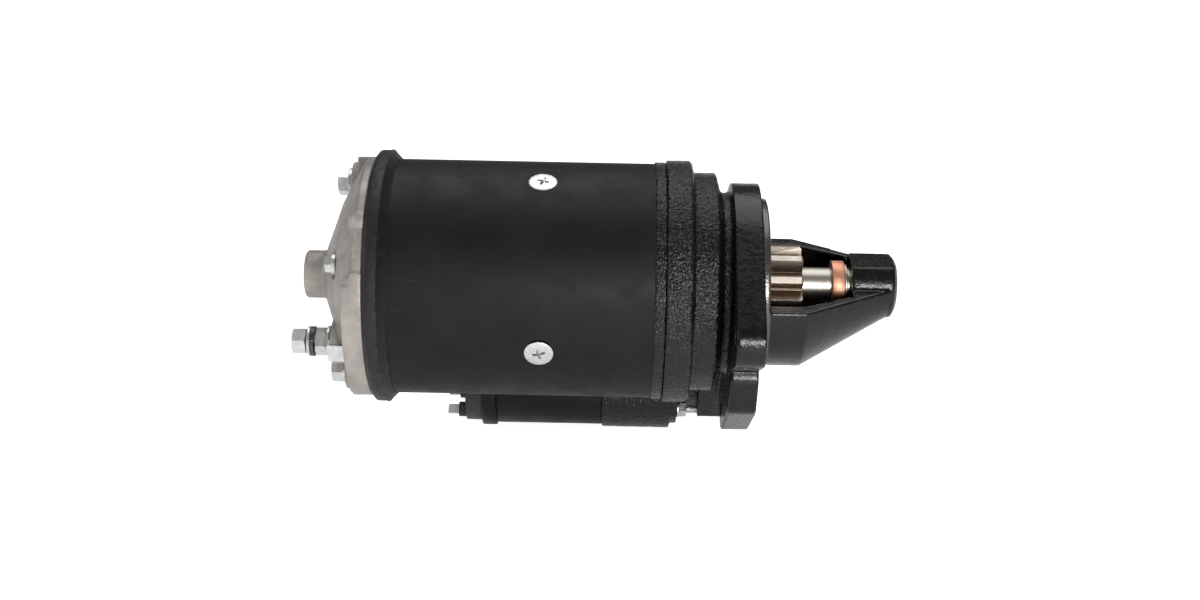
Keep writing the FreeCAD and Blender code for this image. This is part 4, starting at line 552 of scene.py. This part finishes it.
def add_spring_washer(mesh, box, bore, cut_angle):
    """A split ring of square section whose ends stand slightly apart."""
    low, high = box
    centre = (low + high) / 2
    reach = (high.z - low.z) / 2
    thick = high.x - low.x
    rise = thick * 0.22
    steps = 60
    gap = math.radians(9)
    rows = []
    for step in range(steps + 1):
        share = step / steps
        angle = cut_angle + gap / 2 + (2 * math.pi - gap) * share
        lift = rise * (share - 0.5)
        row = []
        for x, radius in ((low.x + rise / 2, bore), (low.x + rise / 2, reach),
                          (high.x - rise / 2, reach), (high.x - rise / 2, bore)):
            row.append(mesh.verts.new((x + lift, centre.y + radius * math.cos(angle),
                                       centre.z + radius * math.sin(angle))))
        rows.append(row)
    for near, far in zip(rows, rows[1:]):
        for index in range(4):
            after = (index + 1) % 4
            mesh.faces.new((near[index], near[after], far[after], far[index]))
    mesh.faces.new(rows[0])
    mesh.faces.new(list(reversed(rows[-1])))


def add_thread(mesh, centre, left, right, crest, pitch=1.25 * MM, depth=0.62 * MM, steps=32):
    """A threaded length with chamfered ends, its axis parallel to X."""
    per_turn = 6
    count = max(2, round((right - left) / pitch * per_turn))

    def row(share):
        x = left + (right - left) * share
        fade = min(1.0, (x - left) / (1.5 * pitch), (right - x) / (1.5 * pitch))

        def place(angle):
            phase = ((x - left) / pitch - angle / (2 * math.pi)) % 1.0
            dip = depth * (1 - abs(2 * phase - 1))
            end = (1 - fade) * depth
            return x, crest - max(dip, end)
        return place

    spin(mesh, centre, [row(index / count) for index in range(count + 1)], steps=steps, loop=False)


def add_bolt_head(mesh, box, clock=0.0, flats=M8_FLATS, dish=0.35 * MM):
    """A hexagonal head with a turned chamfer and a shallow dished crown on its left end."""
    low, high = box
    centre = (low + high) / 2
    face = flats / 2 * 0.95
    spin(mesh, centre, [
        (low.x + dish, 0.15 * face), (low.x + dish, 0.62 * face), (low.x, 0.72 * face), (low.x, face),
        hex_side(low.x, 1, flats, face), hex_side(high.x, -0.2, flats, face), (high.x, face),
        (high.x, 0.15 * face),
    ], clock=clock, loop=False)


# ------------------------------------------------------------------ castings

def bake(piece):
    """Applies every modifier of a piece."""
    bpy.context.view_layer.update()
    seen = piece.evaluated_get(bpy.context.evaluated_depsgraph_get())
    mesh = bpy.data.meshes.new_from_object(seen)
    piece.modifiers.clear()
    piece.data = mesh
    return piece


def cast_copy(name, node, voxel, passes, roughen):
    """Remeshes a CAD casting evenly, rounds its corners and roughens its skin.

    roughen takes a point and gives how far it moves along its normal, in metres.
    """
    mesh = bmesh.new()
    mesh.from_mesh(frame["nodes"][node].data)
    bmesh.ops.remove_doubles(mesh, verts=mesh.verts, dist=1e-6)
    piece = add_piece(name, mesh, node)
    grid = piece.modifiers.new("Remesh", "REMESH")
    grid.mode = "VOXEL"
    grid.voxel_size = voxel
    relax = piece.modifiers.new("Smooth", "SMOOTH")
    relax.factor = 0.5
    relax.iterations = passes
    bake(piece)
    data = piece.data
    count = len(data.vertices)
    spots = np.empty(count * 3)
    data.vertices.foreach_get("co", spots)
    spots = spots.reshape(-1, 3)
    normals = np.empty(count * 3)
    data.vertex_normals.foreach_get("vector", normals)
    normals = normals.reshape(-1, 3)
    moves = np.array([roughen(Vector(spot)) for spot in spots])
    data.vertices.foreach_set("co", (spots + normals * moves[:, None]).ravel())
    data.shade_smooth()
    wear(piece, SLOT_OF[node])
    return piece


def iron_skin(spot):
    """Coarse sand-cast skin everywhere but on the machined register and flange face."""
    reach = math.hypot(spot.y, spot.z)
    if -0.6 * MM < spot.x < SPIGOT_LENGTH + 0.4 * MM and reach < SPIGOT_RADIUS + 12 * MM:
        return 0.0
    coarse = noise.fractal(spot * 420, 0.9, 2.1, 3)
    swell = noise.noise(spot * 70)
    calm = 0.3 if spot.x > FLANGE_BACK else 1.0
    return calm * (0.16 * MM * coarse + 0.22 * MM * swell)


def alloy_skin(spot):
    """The slightly uneven skin of a die casting."""
    return 0.10 * MM * noise.noise(spot * 110) + 0.03 * MM * noise.fractal(spot * 600, 0.9, 2.1, 2)


RING_STEPS = 160


def seal_ring():
    """The rubber ring with a fine mould lip where its land meets the right-hand slope."""
    mesh = bmesh.new()
    low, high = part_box("yoke_seal_ring")
    left, right = low.x, high.x
    land = (high.z - low.z) / 2
    bore = YOKE_RADIUS
    section = [
        (left, bore), (left, land - 2.6 * MM), (left + 0.3 * MM, land - 2.0 * MM),
        (left + 1.7 * MM, land - 0.3 * MM), (left + 2.4 * MM, land), (left + 5.8 * MM, land),
        (left + 7.1 * MM, land - 0.05 * MM), (left + 7.35 * MM, land + 0.28 * MM),
        (left + 7.75 * MM, land + 0.28 * MM), (left + 8.0 * MM, land - 0.25 * MM),
        (right - 0.8 * MM, bore + 1.3 * MM), (right, bore + 0.5 * MM), (right, bore),
    ]
    spin(mesh, Vector((0, 0, 0)), section, steps=RING_STEPS)
    wear(add_piece("seal_ring_moulded", mesh, "yoke_seal_ring"), "seal_ring")


def castings():
    cast_copy("drive_end_casting", "drive_end_bracket", 0.8 * MM, 2, iron_skin)
    cast_copy("commutator_end_casting", "commutator_end_bracket", 0.7 * MM, 3, alloy_skin)
    cast_copy("solenoid_front_casting", "solenoid_front_housing", 0.7 * MM, 3, iron_skin)
    cast_copy("intermediate_casting", "intermediate_bracket", 0.8 * MM, 2, iron_skin)


# ------------------------------------------------------------------ fasteners

def axis_of(box):
    low, high = box
    return Vector(((low.x + high.x) / 2, (low.y + high.y) / 2, (low.z + high.z) / 2))


def through_bolts():
    mesh = bmesh.new()
    head, threaded = 5.7 * MM, 26 * MM
    for index, (low, high) in enumerate(islands("through_bolts")):
        seat = low.x + head
        thread_start = high.x - threaded
        add_bolt_head(mesh, (low, Vector((seat, high.y, high.z))), clock=0.35 + 0.5 * index)
        centre = axis_of((low, high))
        spin(mesh, centre, [(seat - 1 * MM, M8_SHANK), (thread_start, M8_SHANK)], steps=32, loop=False)
        add_thread(mesh, centre, thread_start, high.x, M8_SHANK)
    add_piece("through_bolt_set", mesh, "through_bolts")


def plate_screws():
    mesh = bmesh.new()
    head = 3.6 * MM
    for index, (low, high) in enumerate(islands("brush_plate_screws")):
        seat = low.x + head
        add_bolt_head(mesh, (low, Vector((seat, high.y, high.z))), clock=0.2 + index, flats=M5_FLATS,
                      dish=0.25 * MM)
        add_thread(mesh, axis_of((low, high)), seat - 0.5 * MM, high.x, M5_CREST, **M5_THREAD)
    add_piece("brush_plate_screw_set", mesh, "brush_plate_screws")


def slab(box, start, stop):
    """The part of a box from start to stop, both measured along X from its left end."""
    low, high = box
    return Vector((low.x + start, low.y, low.z)), Vector((low.x + stop, high.y, high.z))


def washers():
    """Flat and spring washers; each ring's bore follows from the circle it stands on.

    The thick one between the terminal's nuts is a flat washer with a dark spring washer behind it.
    """
    mesh = bmesh.new()
    lock = bmesh.new()
    bolt_circle, screw_circle, stud_circle = 51 * MM, 38 * MM, 42 * MM
    bores = {bolt_circle: 3.95 * MM, screw_circle: M5_BORE, stud_circle: M8_BORE}
    pair_thick = 4 * MM
    screw_reach, bolt_reach, terminal_reach = 5 * MM, 6.5 * MM, 6.95 * MM
    split_angle = math.radians(150)
    for index, box in enumerate(islands("cover_washers")):
        centre = axis_of(box)
        circle = math.hypot(centre.y, centre.z)
        bore = bores[min(bores, key=lambda known: abs(known - circle))]
        reach = (box[1].z - box[0].z) / 2
        thick = box[1].x - box[0].x
        if thick > pair_thick:
            add_washer(mesh, slab(box, 0.8 * MM, 2.3 * MM), bore)
            add_spring_washer(lock, slab(box, 2.4 * MM, thick), bore, split_angle)
        elif reach < screw_reach or bolt_reach < reach < terminal_reach:
            add_spring_washer(mesh, box, bore, split_angle + math.radians(40) * index)
        else:
            add_washer(mesh, box, bore)
    add_piece("washer_set", mesh, "cover_washers")
    wear(add_piece("lock_washer", lock, "cover_washers"), "dark_spring")


def nuts():
    mesh = bmesh.new()
    clocks = (0.06, 0.42, 0.2, 0.5, 0.1)
    for clock, box in zip(clocks, islands("terminal_nuts")):
        add_nut(mesh, box, M8_BORE, clock)
    add_piece("terminal_nut_set", mesh, "terminal_nuts")


def main_stud():
    mesh = bmesh.new()
    low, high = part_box("terminal_stud")
    head = 3.9 * MM
    centre = axis_of((low, high))
    add_thread(mesh, centre, low.x, high.x - head + 0.2 * MM, M8_CREST)
    add_bolt_head(mesh, (Vector((high.x - head, low.y, low.z)), high), dish=0.0)
    add_piece("terminal_stud_threaded", mesh, "terminal_stud")


def power_studs():
    mesh = bmesh.new()
    head = 3 * MM
    for low, high in islands("solenoid_power_studs"):
        centre = axis_of((low, high))
        add_thread(mesh, centre, low.x, high.x - head + 0.2 * MM, M8_CREST)
        add_bolt_head(mesh, (Vector((high.x - head, low.y, low.z)), high), flats=12 * MM, dish=0.0)
    add_piece("power_stud_set", mesh, "solenoid_power_studs")


def fixing_studs():
    """The solenoid's fixing studs with a washer and a nut on each."""
    mesh = bmesh.new()
    thick, shortest_stud = 1.2 * MM, 20 * MM
    for low, high in islands("solenoid_fixings"):
        if high.x - low.x > shortest_stud:
            add_thread(mesh, axis_of((low, high)), low.x, high.x, M5_CREST, **M5_THREAD)
        else:
            add_washer(mesh, (low, Vector((low.x + thick, high.y, high.z))), M5_BORE)
            nut_box = (Vector((low.x + thick, low.y, low.z)), high)
            add_nut(mesh, nut_box, M5_BORE, 0.3, flats=M5_FLATS)
    add_piece("solenoid_fixing_set", mesh, "solenoid_fixings")


def pole_screws():
    """Countersunk screws with a domed head and a cross recess, their axes pointing at the shaft."""
    blank = bmesh.new()
    reach, crown, taper, shank = 7.5 * MM, 0.55 * MM, 4.2 * MM, 4 * MM
    length = 14 * MM
    origin = Vector((0, 0, 0))
    dome = []
    for part in range(1, 7):
        angle = math.pi / 2 * part / 6
        dome.append((crown * math.cos(angle), reach * math.sin(angle)))
    section = [(crown, 0.2 * MM)] + dome + [(-0.5 * MM, reach), (-taper, shank + 0.1 * MM)]
    spin(blank, origin, section + [(-length, shank)], steps=64, loop=False)
    data = bpy.data.meshes.new("pole_screw_blank")
    bmesh.ops.recalc_face_normals(blank, faces=blank.faces)
    blank.to_mesh(data)
    blank.free()
    cutter_mesh = bmesh.new()
    half, wing, depth = 3.6 * MM, 0.8 * MM, 2.2 * MM
    for turn in (0, 1):
        made = bmesh.ops.create_cube(cutter_mesh, size=2)["verts"]
        for vertex in made:
            inner = vertex.co.x < 0
            along = half * (0.55 if inner else 1.12)
            across = wing * (0.7 if inner else 1.1)
            level = -depth if inner else crown + 1 * MM
            place = Vector((level, along * vertex.co.y, across * vertex.co.z))
            vertex.co = place if turn == 0 else Vector((place.x, -place.z, place.y))
    cutter_data = bpy.data.meshes.new("recess_cutter")
    cutter_mesh.to_mesh(cutter_data)
    cutter_mesh.free()
    body = bpy.data.objects.new("pole_screw_body", data)
    cutter = bpy.data.objects.new("pole_screw_cutter", cutter_data)
    for item in (body, cutter):
        bpy.context.scene.collection.objects.link(item)
    carve = body.modifiers.new("Recess", "BOOLEAN")
    carve.operation = "DIFFERENCE"
    carve.solver = "EXACT"
    carve.use_self = True
    carve.object = cutter
    bake(body)
    mesh = bmesh.new()
    for index, box in enumerate(sorted(islands("pole_screws"), key=lambda found: axis_of(found).z)):
        centre = axis_of(box)
        outward = Vector((0, centre.y, centre.z)).normalized()
        surface = outward * YOKE_RADIUS
        place = Matrix.Translation(Vector((centre.x, surface.y, surface.z)))
        turn = outward.to_track_quat("X", "Z").to_matrix().to_4x4()
        spun = Matrix.Rotation(0.5 + 1.3 * index, 4, "X")
        copied = body.data.copy()
        copied.transform(place @ turn @ spun)
        mesh.from_mesh(copied)
        bpy.data.meshes.remove(copied)
    bpy.data.objects.remove(body)
    bpy.data.objects.remove(cutter)
    add_piece("pole_screw_set", mesh, "pole_screws")


def on_side(vertex, axis):
    """Whether a vertex lies within 45 degrees of an axis, seen along the shaft."""
    radial = Vector((0, vertex.co.y, vertex.co.z))
    return radial.dot(axis) >= math.cos(math.pi / 4) * radial.length


def springs():
    """Springs as pieces of their own: one round the plunger, and one behind each brush, cut from the
    brush springs along its slide.
    """
    joints = {joint["name"]: joint for joint in RECORD["behaviour"]["joints"]}
    jobs = [("plunger_spring", "plunger_slide", "plunger_return_spring")]
    for word in ("one", "two", "three", "four"):
        jobs.append(("brush_springs", f"brush_{word}_slide", f"brush_{word}_spring"))
    for node, name, title in jobs:
        axis = Vector(joints[name]["axis"]).normalized()
        mesh = bmesh.new()
        mesh.from_mesh(frame["nodes"][node].data)
        if node == "brush_springs":
            others = [vertex for vertex in mesh.verts if not on_side(vertex, axis)]
            bmesh.ops.delete(mesh, geom=others, context="VERTS")
        piece = add_piece(title, mesh, node)
        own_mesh(piece)


# Width of the rounding on each CAD node's edges, in millimetres.
EDGE_WIDTHS = {
    "solenoid_case": 0.4, "solenoid_clamp_ring": 0.6, "solenoid_cap": 0.7, "spade_terminals": 0.15,
    "terminal_tab": 0.25, "thrust_collar": 0.5, "retaining_ring": 0.3, "pinion": 0.35,
    "lever_pivot_pin": 0.4, "plunger_boot": 0.6, "field_grommet": 0.5, "motor_link": 0.3,
    "engaging_lever": 0.6,
}
for node, width in EDGE_WIDTHS.items():
    soften(node, width * MM)

castings()
seal_ring()
through_bolts()
plate_screws()
washers()
nuts()
main_stud()
power_studs()
fixing_studs()
pole_screws()
springs()


# ------------------------------------------------------------------ studio

FLOOR_SIZE = 30
FLOOR_GLOW = 0.3
FLOOR_SEEN_GLOW = 0.5
SKY_FRONT = 0.22
SKY_BACK = 0.1


def studio():
    """A pale floor in a dim room, a wide soft ceiling lamp and a compact lamp near the camera."""
    bpy.context.scene.view_settings.view_transform = "Standard"
    low, high = CAD_BOX
    middle = (low + high) / 2
    bpy.ops.mesh.primitive_plane_add(size=FLOOR_SIZE, location=(middle.x, middle.y, low.z))
    floor = bpy.context.object
    floor.name = "floor"
    paper = Shader("floor_paper", (0.9, 0.9, 0.9), 0.6)
    paper.set("Base Color", paper.blend(paper.noise(9, 3), (0.86, 0.86, 0.86), (0.9, 0.9, 0.9)))
    paper.set("Specular IOR Level", 0.1)
    paper.set("Emission Color", (1, 1, 1, 1))
    seen = paper.node("ShaderNodeLightPath").outputs["Is Camera Ray"]
    paper.set("Emission Strength", paper.math("ADD", FLOOR_GLOW,
                                              paper.math("MULTIPLY", seen, FLOOR_SEEN_GLOW)))
    floor.data.materials.append(paper.material)
    world = bpy.data.worlds.new("studio")
    bpy.context.scene.world = world
    world.use_nodes = True
    tree = world.node_tree
    sky = tree.nodes["Background"]
    sky.inputs["Strength"].default_value = 1.0
    place = tree.nodes.new("ShaderNodeTexCoord")
    split = tree.nodes.new("ShaderNodeSeparateXYZ")
    ramp = tree.nodes.new("ShaderNodeMapRange")
    limits = {"From Min": -1.0, "From Max": 1.0, "To Min": SKY_FRONT, "To Max": SKY_BACK}
    for name, number in limits.items():
        ramp.inputs[name].default_value = number
    tree.links.new(place.outputs["Generated"], split.inputs[0])
    tree.links.new(split.outputs[1], ramp.inputs["Value"])
    tree.links.new(ramp.outputs["Result"], sky.inputs["Color"])
    panels = [
        ("ceiling", (0.1, 0.9, 1.7), 1.8, 19.0),
        ("key", (0.3, -1.05, 0.3), 0.3, 8.0),
        ("side", (-1.3, -0.3, 0.6), 0.7, 4.0),
    ]
    for name, offset, size, power in panels:
        light = bpy.data.lights.new(name, "AREA")
        light.size = size
        light.energy = power
        lamp = bpy.data.objects.new(name, light)
        lamp.location = middle + Vector(offset)
        lamp.rotation_euler = (-Vector(offset)).to_track_quat("-Z", "Y").to_euler()
        bpy.context.scene.collection.objects.link(lamp)


CAMERA_ELEVATION = math.radians(25.5)
CAMERA_DISTANCE = 0.9
CAMERA_X = -0.0788
CAMERA_DROP = 0.011
CAMERA_ROLL = math.radians(1.15)


def camera():
    """Looks along +Y and down at the shaft, from the front."""
    lens = bpy.data.cameras.new("camera")
    lens.lens = 49.54
    lens.sensor_width = 36
    lens.shift_x = -0.0083
    eye = bpy.data.objects.new("camera", lens)
    forward = Vector((0, math.cos(CAMERA_ELEVATION), -math.sin(CAMERA_ELEVATION)))
    upward = Vector((0, math.sin(CAMERA_ELEVATION), math.cos(CAMERA_ELEVATION)))
    eye.location = Vector((CAMERA_X, 0, 0)) - forward * CAMERA_DISTANCE - upward * CAMERA_DROP
    turn = forward.to_track_quat("-Z", "Y").to_matrix().to_4x4()
    eye.rotation_euler = (turn @ Matrix.Rotation(CAMERA_ROLL, 4, "Z")).to_euler()
    bpy.context.scene.collection.objects.link(eye)
    bpy.context.scene.camera = eye


studio()
camera()
